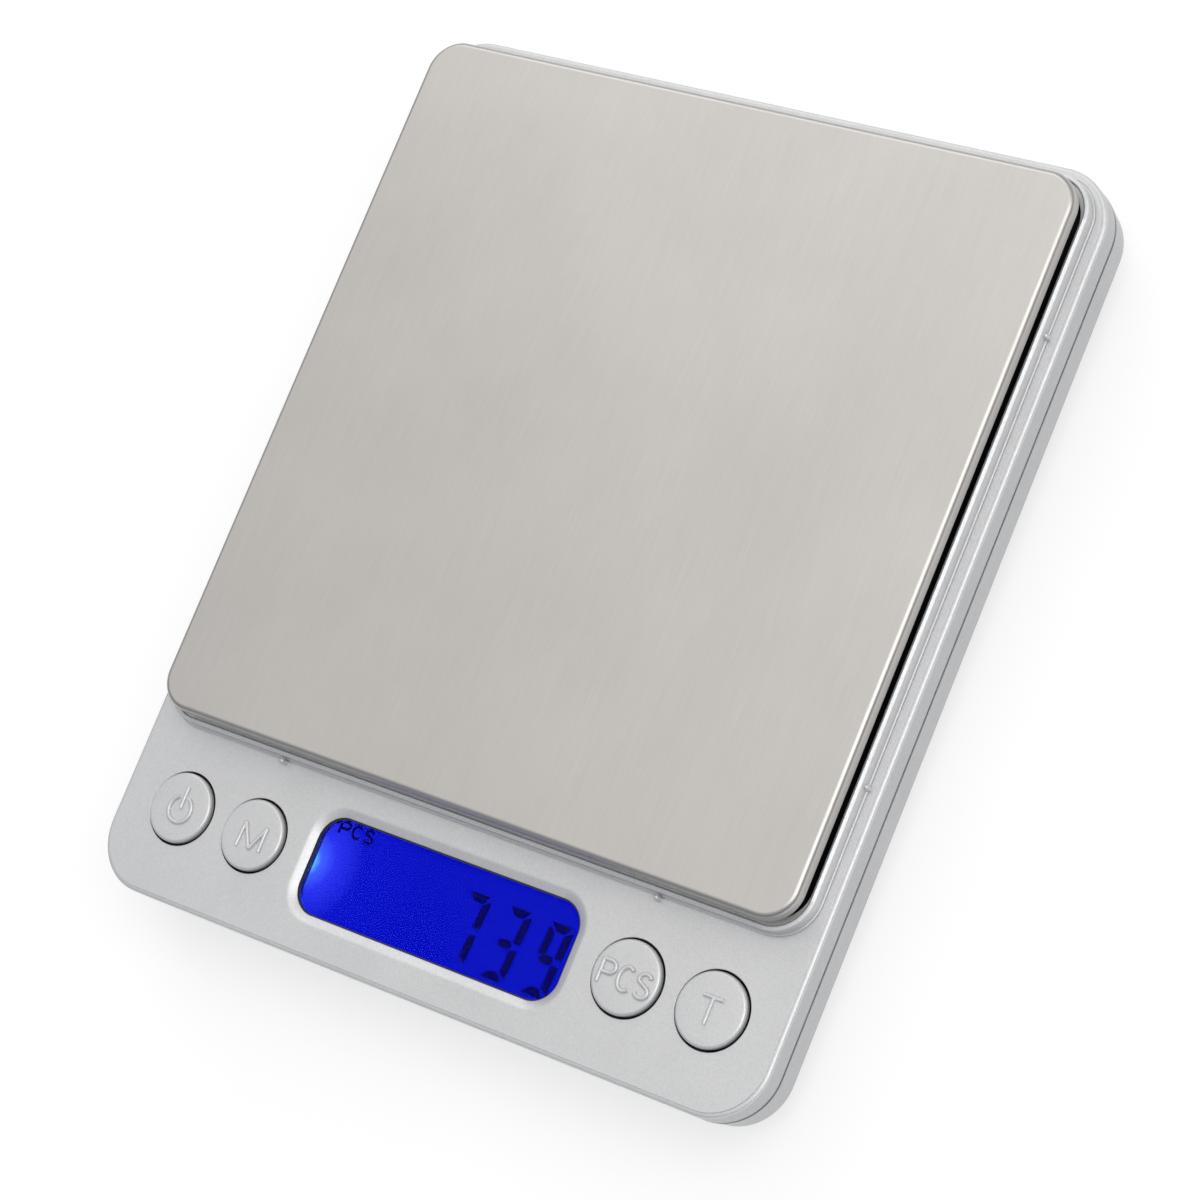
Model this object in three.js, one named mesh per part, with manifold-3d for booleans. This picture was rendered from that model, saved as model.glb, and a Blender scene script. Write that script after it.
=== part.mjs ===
// A digital gram scale: a flat silver case in two shells, a square steel weighing pan on an
// aluminium load cell, a backlit display, four keys, and two AAA cells behind a door underneath.
// Millimetres, +Z up. The origin is on the table, under the centre of the case. The keys face -Y.
import * as THREE from "three";
import { mergeVertices } from "three/addons/utils/BufferGeometryUtils.js";
import Module from "manifold-3d";

const wasm = await Module();
wasm.setup();

// ---- Driving dimensions ------------------------------------------------------------------

const CASE = { halfX: 53.2, halfY: 63.5, corner: 8, wall: 1.6, rim: 0.8, panelZ: 13.9 };
const PARTING = { z: 10.15, reveal: 0.3, tongueIn: 1.9, tongueWidth: 0.9, tongueTop: 11.1 };
const BASE = { bottomZ: 1.2, shoulderZ: 5.4, shoulderIn: 0.45, slopeIn: 5.2, floor: 1.6 };
const PAN = { halfX: 50.5, halfY: 50, centreY: 11.05, corner: 4.7, topZ: 19 };
const PAN_SHEET = { thick: 0.5, skirt: 1.8, edge: 0.8 };
const WELL = { gap: 0.15, lip: 0.7, crestZ: 16.05, floorZ: 12.6, floor: 1.2, frontWall: 1.5 };
const CARRIER = { half: 49, corner: 6, topZ: 18.1, plate: 1.6, ribZ: 14.6, bossZ: 12 };
const STOP = { x: 41, y: 41, radius: 2.5, topZ: 15.9 };

const KEYS = { y: -50.94, outerX: 42.83, innerX: 30.24, hole: 5.15, cap: 4.85, capTop: 14.65 };
const KEY_FLANGE = { radius: 5.7, low: 11.3, high: 12.1 };
const WINDOW = { y: -51.18, halfX: 21, halfY: 6.82, corner: 3.7, bevelIn: 1.15, bevelZ: 13.3 };
const LENS = { fit: 0.15, flange: 2, low: 11.6, step: 12.2, top: 13.1 };
const GLASS = { halfX: 23.5, halfY: 8.9, low: 9.6, high: 11.4 };
const BACKLIGHT = { halfX: 22.5, y: -50.4, halfY: 7.4, low: 7, high: 9.4 };
const BOARD = { halfX: 48, front: -59.2, back: -42.6, low: 5.2, high: 6.4 };
const SWITCH = { half: 3, top: 9.9, bore: 1.9, boreZ: 8.8, plunger: 1.7, plungerZ: 9.3 };
const BOARD_BOSS = { x: 36.5, y: -56.8, radius: 2, pilot: 0.75, depth: 4 };

const CELL = { halfX: 30, halfY: 6, low: 4.6, high: 10.8, hole: 2.3, holeX: 7.5, slot: 0.6 };
const CELL_SCREW = { x: [19.5, 26], pilot: 1.4, shank: 1.25, head: 2.6 };
const FIXED_BOSS = { topZ: 3.4, halfY: 7 };

const AAA = { radius: 5.25, length: 44.5, nub: 1.9, nubLength: 0.9, z: 7.95, spacing: 11.3 };
const POCKET = { y: 42.9, halfX: 25.2, halfY: 11.3, wall: 1.2, ceilingLow: 13.4, ceilingTop: 14.2 };
const DOOR = { halfX: 27.2, halfY: 13.1, gap: 0.3, thick: 1.3, corner: 1.5, toeX: 16, toeReach: 1.8 };
const LEDGE = { z: 4, beyond: 1.2 };
const HUMP = { clear: 0.5, wall: 1, low: 14.4, top: 15.4 };

const FOOT = { x: 39, y: 51, radius: 5, recess: 0.8 };
const CASE_SCREW = { x: 44, y: 34, bore: 2.9, boreTop: 4.2, shank: 1.3, tower: 4.3, towerTop: 6 };

const CORNER_STEPS = 6;
const ROUND = 20;
const SMALL_ROUND = 12;
const KEY_ROUND = 28;

// ---- Materials ---------------------------------------------------------------------------

function material(color, roughness, metalness) {
  return new THREE.MeshStandardMaterial({ color, roughness, metalness });
}

const SILVER_PAINT = material(0xc9cacb, 0.42, 0.35);
const BRUSHED_STEEL = material(0xc8c4bd, 0.34, 1);
const ALUMINIUM = material(0xc4c6c8, 0.4, 1);
const BRIGHT_STEEL = material(0xb9bbbe, 0.25, 1);
const DARK_STEEL = material(0x55575a, 0.35, 1);
const GREY_ABS = material(0xb4b6b8, 0.6, 0);
const BLACK_ABS = material(0x1b1c1e, 0.5, 0);
const RUBBER = material(0x8b8d8f, 0.9, 0);
const CLEAR_ACRYLIC = material(0xf2f6ff, 0.08, 0);
const DISPLAY_BLUE = material(0x1018c8, 0.15, 0);
const LIGHT_GUIDE = material(0xe8ecf8, 0.3, 0);
const LED_WHITE = material(0xf4f1d8, 0.3, 0);
const BOARD_GREEN = material(0x1d5a35, 0.5, 0);
const EPOXY = material(0x0d0d0f, 0.35, 0);
const SILICONE = material(0xe9e7e0, 0.55, 0);
const TAPE = material(0xf0efe9, 0.85, 0);
const CELL_JACKET = material(0x2c6b46, 0.35, 0.4);
const NICKEL = material(0xc8c6bf, 0.22, 1);

// ---- Shapes and solids -------------------------------------------------------------------

// Points round a rectangle with round corners, counter-clockwise.
function outline(halfX, halfY, radius) {
  const points = [];
  const corners = [[1, 1], [-1, 1], [-1, -1], [1, -1]];
  corners.forEach(([sx, sy], quarter) => {
    for (let i = 0; i <= CORNER_STEPS; i++) {
      const angle = (quarter + i / CORNER_STEPS) * (Math.PI / 2);
      points.push([
        sx * (halfX - radius) + radius * Math.cos(angle),
        sy * (halfY - radius) + radius * Math.sin(angle),
      ]);
    }
  });
  return points;
}

// A solid whose side follows a profile of [inset, z] pairs, from the bottom up, round a
// rectangle with round corners.
function swept({ halfX, halfY, corner, y = 0 }, profile) {
  const positions = [];
  const indices = [];
  for (const [inset, z] of profile) {
    const radius = Math.max(corner - inset, 0.3);
    for (const [px, py] of outline(halfX - inset, halfY - inset, radius)) {
      positions.push(px, py + y, z);
    }
  }
  const count = 4 * (CORNER_STEPS + 1);
  for (let ring = 0; ring + 1 < profile.length; ring++) {
    for (let i = 0; i < count; i++) {
      const a = ring * count + i;
      const b = ring * count + ((i + 1) % count);
      indices.push(a, b, b + count, a, b + count, a + count);
    }
  }
  const last = (profile.length - 1) * count;
  for (let i = 1; i + 1 < count; i++) {
    indices.push(0, i + 1, i);
    indices.push(last, last + i, last + i + 1);
  }
  const geometry = new THREE.BufferGeometry();
  geometry.setAttribute("position", new THREE.Float32BufferAttribute(positions, 3));
  geometry.setIndex(indices);
  return solid(geometry);
}

// A plate with round corners, from one height to another.
function plate(shape, low, high) {
  return swept(shape, [[0, low], [0, high]]);
}

// The closed solid of a geometry, with its faces pointing out.
function solid(geometry) {
  const bare = geometry.clone();
  bare.deleteAttribute("normal");
  bare.deleteAttribute("uv");
  const merged = mergeVertices(bare, 1e-4);
  const triVerts = new Uint32Array(merged.index.array);
  const vertProperties = new Float32Array(merged.attributes.position.array);
  const made = new wasm.Manifold(new wasm.Mesh({ numProp: 3, vertProperties, triVerts }));
  if (made.volume() > 0) return made;
  for (let i = 0; i < triVerts.length; i += 3) {
    [triVerts[i + 1], triVerts[i + 2]] = [triVerts[i + 2], triVerts[i + 1]];
  }
  return new wasm.Manifold(new wasm.Mesh({ numProp: 3, vertProperties, triVerts }));
}

// A box between two corners.
function box([x0, x1], [y0, y1], [z0, z1]) {
  const geometry = new THREE.BoxGeometry(x1 - x0, y1 - y0, z1 - z0);
  geometry.translate((x0 + x1) / 2, (y0 + y1) / 2, (z0 + z1) / 2);
  return solid(geometry);
}

// An upright cylinder at x, y.
function rod(radius, low, high, x = 0, y = 0, sides = ROUND) {
  const geometry = new THREE.CylinderGeometry(radius, radius, high - low, sides);
  geometry.rotateX(Math.PI / 2);
  geometry.translate(x, y, (low + high) / 2);
  return solid(geometry);
}

// A solid turned about Z from [radius, z] pairs that start and end on the axis.
function turned(pairs, sides = ROUND) {
  const profile = pairs.map(([radius, z]) => new THREE.Vector2(radius, z));
  const geometry = new THREE.LatheGeometry(profile, sides);
  geometry.rotateX(Math.PI / 2);
  return solid(geometry);
}

// A round wire along a curve.
function wireAlong(curve, radius, steps, sides = 5) {
  const section = new THREE.Shape();
  for (let i = 0; i < sides; i++) {
    const angle = (i / sides) * 2 * Math.PI;
    const place = [radius * Math.cos(angle), radius * Math.sin(angle)];
    if (i === 0) section.moveTo(...place);
    else section.lineTo(...place);
  }
  section.closePath();
  return solid(new THREE.ExtrudeGeometry(section, { steps, extrudePath: curve }));
}

function join(first, ...others) {
  return others.reduce((whole, piece) => whole.add(piece), first);
}

function cut(first, ...tools) {
  return tools.reduce((whole, tool) => whole.subtract(tool), first);
}

// The geometry of a solid, for a mesh.
function geometryOf(made) {
  const { numVert, numProp, vertProperties, triVerts } = made.getMesh();
  const positions = new Float32Array(numVert * 3);
  for (let i = 0; i < numVert; i++) {
    positions.set(vertProperties.subarray(i * numProp, i * numProp + 3), i * 3);
  }
  const geometry = new THREE.BufferGeometry();
  geometry.setAttribute("position", new THREE.BufferAttribute(positions, 3));
  geometry.setIndex(new THREE.BufferAttribute(triVerts, 1));
  geometry.computeVertexNormals();
  return geometry;
}

// A named mesh of a solid that is drawn about its own origin and stands at a place.
function piece(name, made, look, place = [0, 0, 0]) {
  const mesh = new THREE.Mesh(geometryOf(made), look);
  mesh.name = name;
  mesh.position.set(...place);
  return mesh;
}

const SIDES = [-1, 1];
const CORNERS = [
  ["front_left", -1, -1],
  ["front_right", 1, -1],
  ["rear_left", -1, 1],
  ["rear_right", 1, 1],
];
const KEY_PLACES = [
  ["power", -KEYS.outerX],
  ["mode", -KEYS.innerX],
  ["count", KEYS.innerX],
  ["tare", KEYS.outerX],
];

const WELL_SHAPE = {
  halfX: PAN.halfX + WELL.gap,
  halfY: PAN.halfY + WELL.gap,
  corner: PAN.corner + WELL.gap,
  y: PAN.centreY,
};
const WINDOW_SHAPE = {
  halfX: WINDOW.halfX,
  halfY: WINDOW.halfY,
  corner: WINDOW.corner,
  y: WINDOW.y,
};
const DOOR_OPENING = {
  halfX: DOOR.halfX + DOOR.gap,
  halfY: DOOR.halfY + DOOR.gap,
  corner: DOOR.corner + DOOR.gap,
  y: POCKET.y,
};

// ---- Upper shell -------------------------------------------------------------------------

// The case's rim turns over on a small radius at the top of its wall.
function upperBlank() {
  const low = PARTING.z + PARTING.reveal / 2;
  const profile = [[0, low], [0, CASE.panelZ - CASE.rim]];
  for (const degrees of [30, 60, 90]) {
    const angle = THREE.MathUtils.degToRad(degrees);
    profile.push([
      CASE.rim * (1 - Math.cos(angle)),
      CASE.panelZ - CASE.rim * (1 - Math.sin(angle)),
    ]);
  }
  return swept(CASE, profile);
}

// The raised lip round the well, with a rounded crest.
function wellLip() {
  const lip = {
    halfX: WELL_SHAPE.halfX + WELL.lip,
    halfY: WELL_SHAPE.halfY + WELL.lip,
    corner: WELL_SHAPE.corner + WELL.lip,
    y: PAN.centreY,
  };
  const round = WELL.lip / 2;
  return swept(lip, [
    [0, CASE.panelZ - 1],
    [0, WELL.crestZ - round],
    [round * 0.3, WELL.crestZ - round * 0.3],
    [round, WELL.crestZ],
  ]);
}

function upperShell() {
  const ceiling = CASE.panelZ - CASE.wall + 0.1;
  const wellUnder = WELL.floorZ - WELL.floor;
  const wellFront = PAN.centreY - WELL_SHAPE.halfY - WELL.frontWall;
  const low = PARTING.z - 1;
  const inner = [
    CASE.halfX - CASE.wall,
    CASE.halfY - CASE.wall,
  ];
  const cavity = plate(
    { halfX: inner[0], halfY: inner[1], corner: CASE.corner - CASE.wall },
    low,
    wellUnder,
  );
  const panelCavity = plate(
    { halfX: inner[0], halfY: inner[1], corner: CASE.corner - CASE.wall },
    wellUnder - 1,
    ceiling,
  ).intersect(box([-60, 60], [-70, wellFront], [0, 20]));

  let shell = join(upperBlank(), wellLip());
  const well = plate(WELL_SHAPE, WELL.floorZ, PAN.topZ);
  shell = cut(shell, well, cavity, panelCavity);

  const humpY = [
    POCKET.y - POCKET.halfY - POCKET.wall - HUMP.clear,
    POCKET.y + POCKET.halfY + POCKET.wall + HUMP.clear,
  ];
  const humpX = POCKET.halfX + POCKET.wall + HUMP.clear;
  const hump = box(
    [-humpX - HUMP.wall, humpX + HUMP.wall],
    [humpY[0] - HUMP.wall, humpY[1] + HUMP.wall],
    [wellUnder, HUMP.top],
  );
  const underHump = box([-humpX, humpX], humpY, [wellUnder - 1, HUMP.low]);
  shell = cut(shell.add(hump), underHump);

  for (const [, sx, sy] of CORNERS) {
    const stopY = PAN.centreY + sy * STOP.y;
    shell = shell.add(rod(STOP.radius, WELL.floorZ - 0.5, STOP.topZ, sx * STOP.x, stopY, 16));
    const [x, y] = [sx * CASE_SCREW.x, sy * CASE_SCREW.y];
    const boss = rod(3, CASE_SCREW.towerTop + 0.3, wellUnder + 0.5, x, y, 16);
    const pilot = rod(1.4, CASE_SCREW.towerTop - 1, wellUnder - 0.6, x, y, SMALL_ROUND);
    shell = cut(shell.add(boss), pilot);
  }
  for (const sx of SIDES) {
    const x = sx * BOARD_BOSS.x;
    const boss = rod(BOARD_BOSS.radius, BOARD.high, ceiling + 0.5, x, BOARD_BOSS.y, 16);
    const pilot = rod(
      BOARD_BOSS.pilot + 0.15, BOARD.high - 1, BOARD.high + BOARD_BOSS.depth,
      x, BOARD_BOSS.y, SMALL_ROUND,
    );
    shell = cut(shell.add(boss), pilot);
  }

  const postX = (CELL_SCREW.x[0] + CELL_SCREW.x[1]) / 2;
  const postHole = plate(
    { halfX: 8.6, halfY: 7.6, corner: 1.5, y: PAN.centreY },
    wellUnder - 1,
    WELL.floorZ + 1,
  ).translate([postX, 0, 0]);
  const opening = plate(WINDOW_SHAPE, ceiling - 1, CASE.panelZ + 1);
  const bevelRise = CASE.panelZ - WINDOW.bevelZ;
  const bevel = swept(
    {
      halfX: WINDOW.halfX + 2 * WINDOW.bevelIn,
      halfY: WINDOW.halfY + 2 * WINDOW.bevelIn,
      corner: WINDOW.corner + 2 * WINDOW.bevelIn,
      y: WINDOW.y,
    },
    [[2 * WINDOW.bevelIn, WINDOW.bevelZ], [0, CASE.panelZ + bevelRise]],
  );
  shell = cut(shell, postHole, opening, bevel);
  for (const [, x] of KEY_PLACES) {
    shell = shell.subtract(rod(KEYS.hole, ceiling - 1, CASE.panelZ + 1, x, KEYS.y, KEY_ROUND));
  }
  return shell;
}

// ---- Lower shell and battery door --------------------------------------------------------

// The wall leans in a little from the parting line to a shoulder, then slopes to the underside.
function lowerBlank() {
  return swept(CASE, [
    [BASE.slopeIn + 0.5, BASE.bottomZ],
    [BASE.slopeIn, BASE.bottomZ + 0.25],
    [BASE.shoulderIn + 0.5, BASE.shoulderZ - 0.2],
    [BASE.shoulderIn, BASE.shoulderZ + 0.5],
    [0, PARTING.z - PARTING.reveal / 2],
  ]);
}

function lowerHollow() {
  const floorZ = BASE.bottomZ + BASE.floor;
  return swept(CASE, [
    [BASE.slopeIn + 1.1, floorZ],
    [BASE.shoulderIn + CASE.wall + 0.3, BASE.shoulderZ + 0.4],
    [CASE.wall, PARTING.z],
  ]);
}

function tongue() {
  const low = PARTING.z - 2;
  const inner = PARTING.tongueIn + PARTING.tongueWidth;
  const outer = swept(CASE, [
    [CASE.wall - 0.3, low - 0.6],
    [PARTING.tongueIn, low],
    [PARTING.tongueIn, PARTING.tongueTop],
  ]);
  const hollow = swept(CASE, [[inner, low - 1], [inner, PARTING.tongueTop + 1]]);
  return outer.subtract(hollow);
}

// The cells lie in a pocket with a closed roof, over a ledge that the door shuts against.
function pocketWalls() {
  const floorZ = BASE.bottomZ + BASE.floor;
  const x = POCKET.halfX + POCKET.wall;
  const y = [POCKET.y - POCKET.halfY - POCKET.wall, POCKET.y + POCKET.halfY + POCKET.wall];
  const ledgeX = DOOR_OPENING.halfX + LEDGE.beyond;
  const ledgeY = [
    POCKET.y - DOOR_OPENING.halfY - LEDGE.beyond,
    POCKET.y + DOOR_OPENING.halfY + LEDGE.beyond,
  ];
  return join(
    box([-x, x], y, [floorZ, POCKET.ceilingTop]),
    box([-ledgeX, ledgeX], ledgeY, [floorZ - 0.2, LEDGE.z]),
  );
}

function toeSlots() {
  const floorZ = BASE.bottomZ + BASE.floor;
  const inside = POCKET.y + POCKET.halfY - 1;
  const outside = POCKET.y + DOOR_OPENING.halfY + DOOR.toeReach + 0.5;
  return SIDES.map((side) => {
    const x = side * DOOR.toeX;
    return box([x - 3.5, x + 3.5], [inside, outside], [floorZ, floorZ + 2.4]);
  });
}

function lowerShell() {
  const floorZ = BASE.bottomZ + BASE.floor;
  const pocketRoom = box(
    [-POCKET.halfX, POCKET.halfX],
    [POCKET.y - POCKET.halfY, POCKET.y + POCKET.halfY],
    [0, POCKET.ceilingLow],
  );
  let shell = join(cut(lowerBlank(), lowerHollow()), tongue(), pocketWalls());
  const doorRoom = plate(DOOR_OPENING, 0, floorZ);
  shell = cut(shell, pocketRoom, doorRoom, ...toeSlots());
  const thumbY = POCKET.y - DOOR_OPENING.halfY;
  const thumb = rod(6.5, 0, 1.9, 0, thumbY + 3.4, ROUND);
  shell = shell.subtract(thumb);

  const cellMiddle = -(CELL_SCREW.x[0] + CELL_SCREW.x[1]) / 2;
  const fixedBoss = box(
    [cellMiddle - 8, cellMiddle + 8],
    [PAN.centreY - FIXED_BOSS.halfY, PAN.centreY + FIXED_BOSS.halfY],
    [floorZ - 0.2, FIXED_BOSS.topZ],
  );
  shell = shell.add(fixedBoss);
  for (const x of CELL_SCREW.x) {
    const hole = rod(CELL_SCREW.shank + 0.2, 0, FIXED_BOSS.topZ + 1, -x, PAN.centreY, 16);
    const sink = rod(CELL_SCREW.head + 0.3, 0, BASE.bottomZ + 1.1, -x, PAN.centreY, ROUND);
    shell = cut(shell, hole, sink);
  }
  for (const [, sx, sy] of CORNERS) {
    const [x, y] = [sx * CASE_SCREW.x, sy * CASE_SCREW.y];
    const tower = rod(CASE_SCREW.tower, floorZ - 0.2, CASE_SCREW.towerTop, x, y, ROUND);
    const bore = rod(CASE_SCREW.bore, 0, CASE_SCREW.boreTop, x, y, ROUND);
    const through = rod(CASE_SCREW.shank + 0.3, 0, CASE_SCREW.towerTop + 1, x, y, 16);
    const seat = rod(FOOT.radius + 0.1, 0, BASE.bottomZ + FOOT.recess, sx * FOOT.x, sy * FOOT.y);
    shell = cut(shell.add(tower.intersect(lowerBlank())), bore, through, seat);
  }
  return shell;
}

// A flush door with two toes at the rear edge, which it swings on, and a finger scoop in front.
function batteryDoor() {
  const shape = { halfX: DOOR.halfX, halfY: DOOR.halfY, corner: DOOR.corner, y: POCKET.y };
  const top = BASE.bottomZ + DOOR.thick;
  const rear = POCKET.y + DOOR.halfY;
  let door = swept(shape, [
    [0.3, BASE.bottomZ],
    [0, BASE.bottomZ + 0.3],
    [0, top],
  ]);
  for (const side of SIDES) {
    const x = [side * DOOR.toeX - 3, side * DOOR.toeX + 3];
    const riser = box(x, [rear - 2.4, rear - 1], [top - 0.2, top + 0.7]);
    const toe = box(x, [rear - 2.4, rear + DOOR.gap + DOOR.toeReach], [top + 0.48, top + 1.38]);
    door = join(door, riser, toe);
  }
  const scoop = rod(6.5, 0, BASE.bottomZ + 0.6, 0, POCKET.y - DOOR.halfY - 3.4 + 6.4, ROUND);
  return door.subtract(scoop);
}

// ---- Pan, tape and carrier ---------------------------------------------------------------

// The edge of the pan turns down on a small radius into a short skirt.
function panSkin(inset) {
  const shape = { halfX: PAN.halfX, halfY: PAN.halfY, corner: PAN.corner };
  const radius = PAN_SHEET.edge - inset;
  const top = PAN.topZ - inset;
  const profile = [[inset, PAN.topZ - PAN_SHEET.skirt - (inset > 0 ? 1 : 0)]];
  for (const degrees of [0, 45, 90]) {
    const angle = THREE.MathUtils.degToRad(degrees);
    profile.push([
      inset + radius * (1 - Math.cos(angle)),
      top - radius * (1 - Math.sin(angle)),
    ]);
  }
  return swept(shape, profile);
}

function weighingPan() {
  return panSkin(0).subtract(panSkin(PAN_SHEET.thick));
}

// A ribbed plate under the pan, with a boss down to the load cell's free end.
function panCarrier() {
  const shape = { halfX: CARRIER.half, halfY: CARRIER.half, corner: CARRIER.corner };
  const under = CARRIER.topZ - CARRIER.plate;
  const postX = (CELL_SCREW.x[0] + CELL_SCREW.x[1]) / 2;
  const ribs = [
    box([-35, 35], [-24, -22], [CARRIER.ribZ, under + 0.2]),
    box([-35, 35], [11, 13], [CARRIER.ribZ, under + 0.2]),
    box([-1, 1], [-40, 13], [CARRIER.ribZ, under + 0.2]),
  ];
  const boss = box([postX - 7, postX + 7], [-6, 6], [CARRIER.bossZ, under + 0.2]);
  let carrier = join(plate(shape, under, CARRIER.topZ), ...ribs, boss);
  for (const x of CELL_SCREW.x) {
    carrier = cut(
      carrier,
      rod(CELL_SCREW.shank + 0.2, CARRIER.bossZ - 1, CARRIER.topZ, x, 0, 16),
      rod(CELL_SCREW.head + 0.3, CARRIER.topZ - 2.6, CARRIER.topZ + 1, x, 0, ROUND),
    );
  }
  return carrier;
}

// ---- Screws ------------------------------------------------------------------------------

// A pan-head screw that stands on its head, with a cross recess in it.
function screw(head, headHeight, shank, length) {
  const blank = turned([
    [0, 0],
    [head * 0.75, 0],
    [head, headHeight * 0.4],
    [head, headHeight],
    [shank, headHeight],
    [shank, headHeight + length - shank],
    [0, headHeight + length],
  ], SMALL_ROUND);
  const arm = head * 0.55;
  const slot = head * 0.14;
  return cut(
    blank,
    box([-arm, arm], [-slot, slot], [-1, headHeight * 0.6]),
    box([-slot, slot], [-arm, arm], [-1, headHeight * 0.6]),
  );
}

// ---- Keys and switches -------------------------------------------------------------------

function keyCap() {
  const round = 0.45;
  return turned([
    [0, KEY_FLANGE.low],
    [KEY_FLANGE.radius, KEY_FLANGE.low],
    [KEY_FLANGE.radius, KEY_FLANGE.high],
    [KEYS.cap, KEY_FLANGE.high],
    [KEYS.cap, KEYS.capTop - round],
    [KEYS.cap - round * 0.3, KEYS.capTop - round * 0.3],
    [KEYS.cap - round, KEYS.capTop],
    [0, KEYS.capTop],
  ], KEY_ROUND);
}

function switchBody() {
  const { half } = SWITCH;
  const block = box([-half, half], [-half, half], [BOARD.high, SWITCH.top]);
  return block.subtract(rod(SWITCH.bore, SWITCH.boreZ, SWITCH.top + 1, 0, 0, 16));
}

// ---- Load cell ---------------------------------------------------------------------------

// A bar with two joined cross holes, which leave four thin webs that bend.
function loadCell() {
  const middle = (CELL.low + CELL.high) / 2;
  const bar = box([-CELL.halfX, CELL.halfX], [-CELL.halfY, CELL.halfY], [CELL.low, CELL.high]);
  const holes = SIDES.map((side) => {
    const geometry = new THREE.CylinderGeometry(CELL.hole, CELL.hole, 20, ROUND);
    geometry.translate(side * CELL.holeX, 0, middle);
    return solid(geometry);
  });
  const slot = box([-CELL.holeX, CELL.holeX], [-10, 10], [middle - CELL.slot, middle + CELL.slot]);
  const taps = CELL_SCREW.x.flatMap((x) => [
    rod(CELL_SCREW.pilot, CELL.low - 1, CELL.low + 4.4, -x, 0, 16),
    rod(CELL_SCREW.pilot, CELL.high - 4.6, CELL.high + 1, x, 0, 16),
  ]);
  return cut(bar, ...holes, slot, ...taps);
}

// White sealant over a pair of strain gauges.
function gaugeSeal(low, high) {
  return plate({ halfX: 11.5, halfY: 4.4, corner: 2 }, low, high);
}

function spacer(low, high) {
  const block = box([-7, 7], [-CELL.halfY, CELL.halfY], [low, high]);
  const middle = (CELL_SCREW.x[0] + CELL_SCREW.x[1]) / 2;
  const holes = CELL_SCREW.x.map((x) => rod(CELL_SCREW.pilot, low - 1, high + 1, x - middle, 0, 16));
  return cut(block, ...holes);
}

// ---- Battery cells and contacts ----------------------------------------------------------

// A cell lying along X, its positive end towards +X.
function dryCell() {
  const half = AAA.length / 2;
  const shoulder = half - AAA.nubLength;
  const made = turned([
    [0, -half],
    [AAA.radius - 0.6, -half],
    [AAA.radius, -half + 0.5],
    [AAA.radius, shoulder - 0.6],
    [AAA.radius - 0.6, shoulder],
    [AAA.nub, shoulder],
    [AAA.nub, half],
    [0, half],
  ]);
  return made.rotate([0, 90, 0]);
}

class Coil extends THREE.Curve {
  constructor(fromRadius, toRadius, length, turns) {
    super();
    Object.assign(this, { fromRadius, toRadius, length, turns });
  }
  getPoint(t, target = new THREE.Vector3()) {
    const radius = THREE.MathUtils.lerp(this.fromRadius, this.toRadius, t);
    const angle = t * this.turns * 2 * Math.PI;
    return target.set(this.length * t, radius * Math.cos(angle), radius * Math.sin(angle));
  }
}

// A conical spring that widens towards its plate.
function contactSpring() {
  const turns = 3.5;
  return wireAlong(new Coil(1.8, 3.6, 3.9, turns), 0.3, Math.round(turns * 10));
}

function contactPlate(halfY) {
  return box([-0.2, 0.2], [-halfY, halfY], [3.4, 12.4]);
}

// ---- Circuit board and display -----------------------------------------------------------

function mainBoard() {
  const shape = {
    halfX: BOARD.halfX,
    halfY: (BOARD.back - BOARD.front) / 2,
    corner: 5,
    y: (BOARD.back + BOARD.front) / 2,
  };
  const holes = SIDES.map((side) =>
    rod(1, BOARD.low - 1, BOARD.high + 1, side * BOARD_BOSS.x, BOARD_BOSS.y, SMALL_ROUND),
  );
  return cut(plate(shape, BOARD.low, BOARD.high), ...holes);
}

function displayLens() {
  const raised = {
    halfX: WINDOW.halfX - LENS.fit,
    halfY: WINDOW.halfY - LENS.fit,
    corner: WINDOW.corner - LENS.fit,
    y: WINDOW.y,
  };
  const flange = {
    halfX: WINDOW.halfX + LENS.flange,
    halfY: WINDOW.halfY + LENS.flange,
    corner: 1,
    y: WINDOW.y,
  };
  return join(plate(flange, LENS.low, LENS.step), plate(raised, LENS.step - 0.2, LENS.top));
}

// A wire from point to point, round the corners on a smooth curve.
function wire(points, radius = 0.5) {
  const curve = new THREE.CatmullRomCurve3(points.map((p) => new THREE.Vector3(...p)));
  return wireAlong(curve, radius, points.length * 3);
}

// ---- The assembly ------------------------------------------------------------------------

const scale = new THREE.Group();
scale.name = "gram_scale";

scale.add(piece("upper_shell", upperShell(), SILVER_PAINT));
scale.add(piece("lower_shell", lowerShell(), SILVER_PAINT));
scale.add(piece("battery_door", batteryDoor(), SILVER_PAINT));

const footHeight = BASE.bottomZ + FOOT.recess;
for (const [where, sx, sy] of CORNERS) {
  const foot = turned([
    [0, 0],
    [FOOT.radius - 0.4, 0],
    [FOOT.radius, 0.4],
    [FOOT.radius, footHeight],
    [0, footHeight],
  ]);
  scale.add(piece(`foot_${where}`, foot, RUBBER, [sx * FOOT.x, sy * FOOT.y, 0]));
  const fixing = screw(2.6, 1.7, CASE_SCREW.shank, 6.4);
  const place = [sx * CASE_SCREW.x, sy * CASE_SCREW.y, CASE_SCREW.boreTop - 1.7];
  scale.add(piece(`case_screw_${where}`, fixing, DARK_STEEL, place));
}

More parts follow.
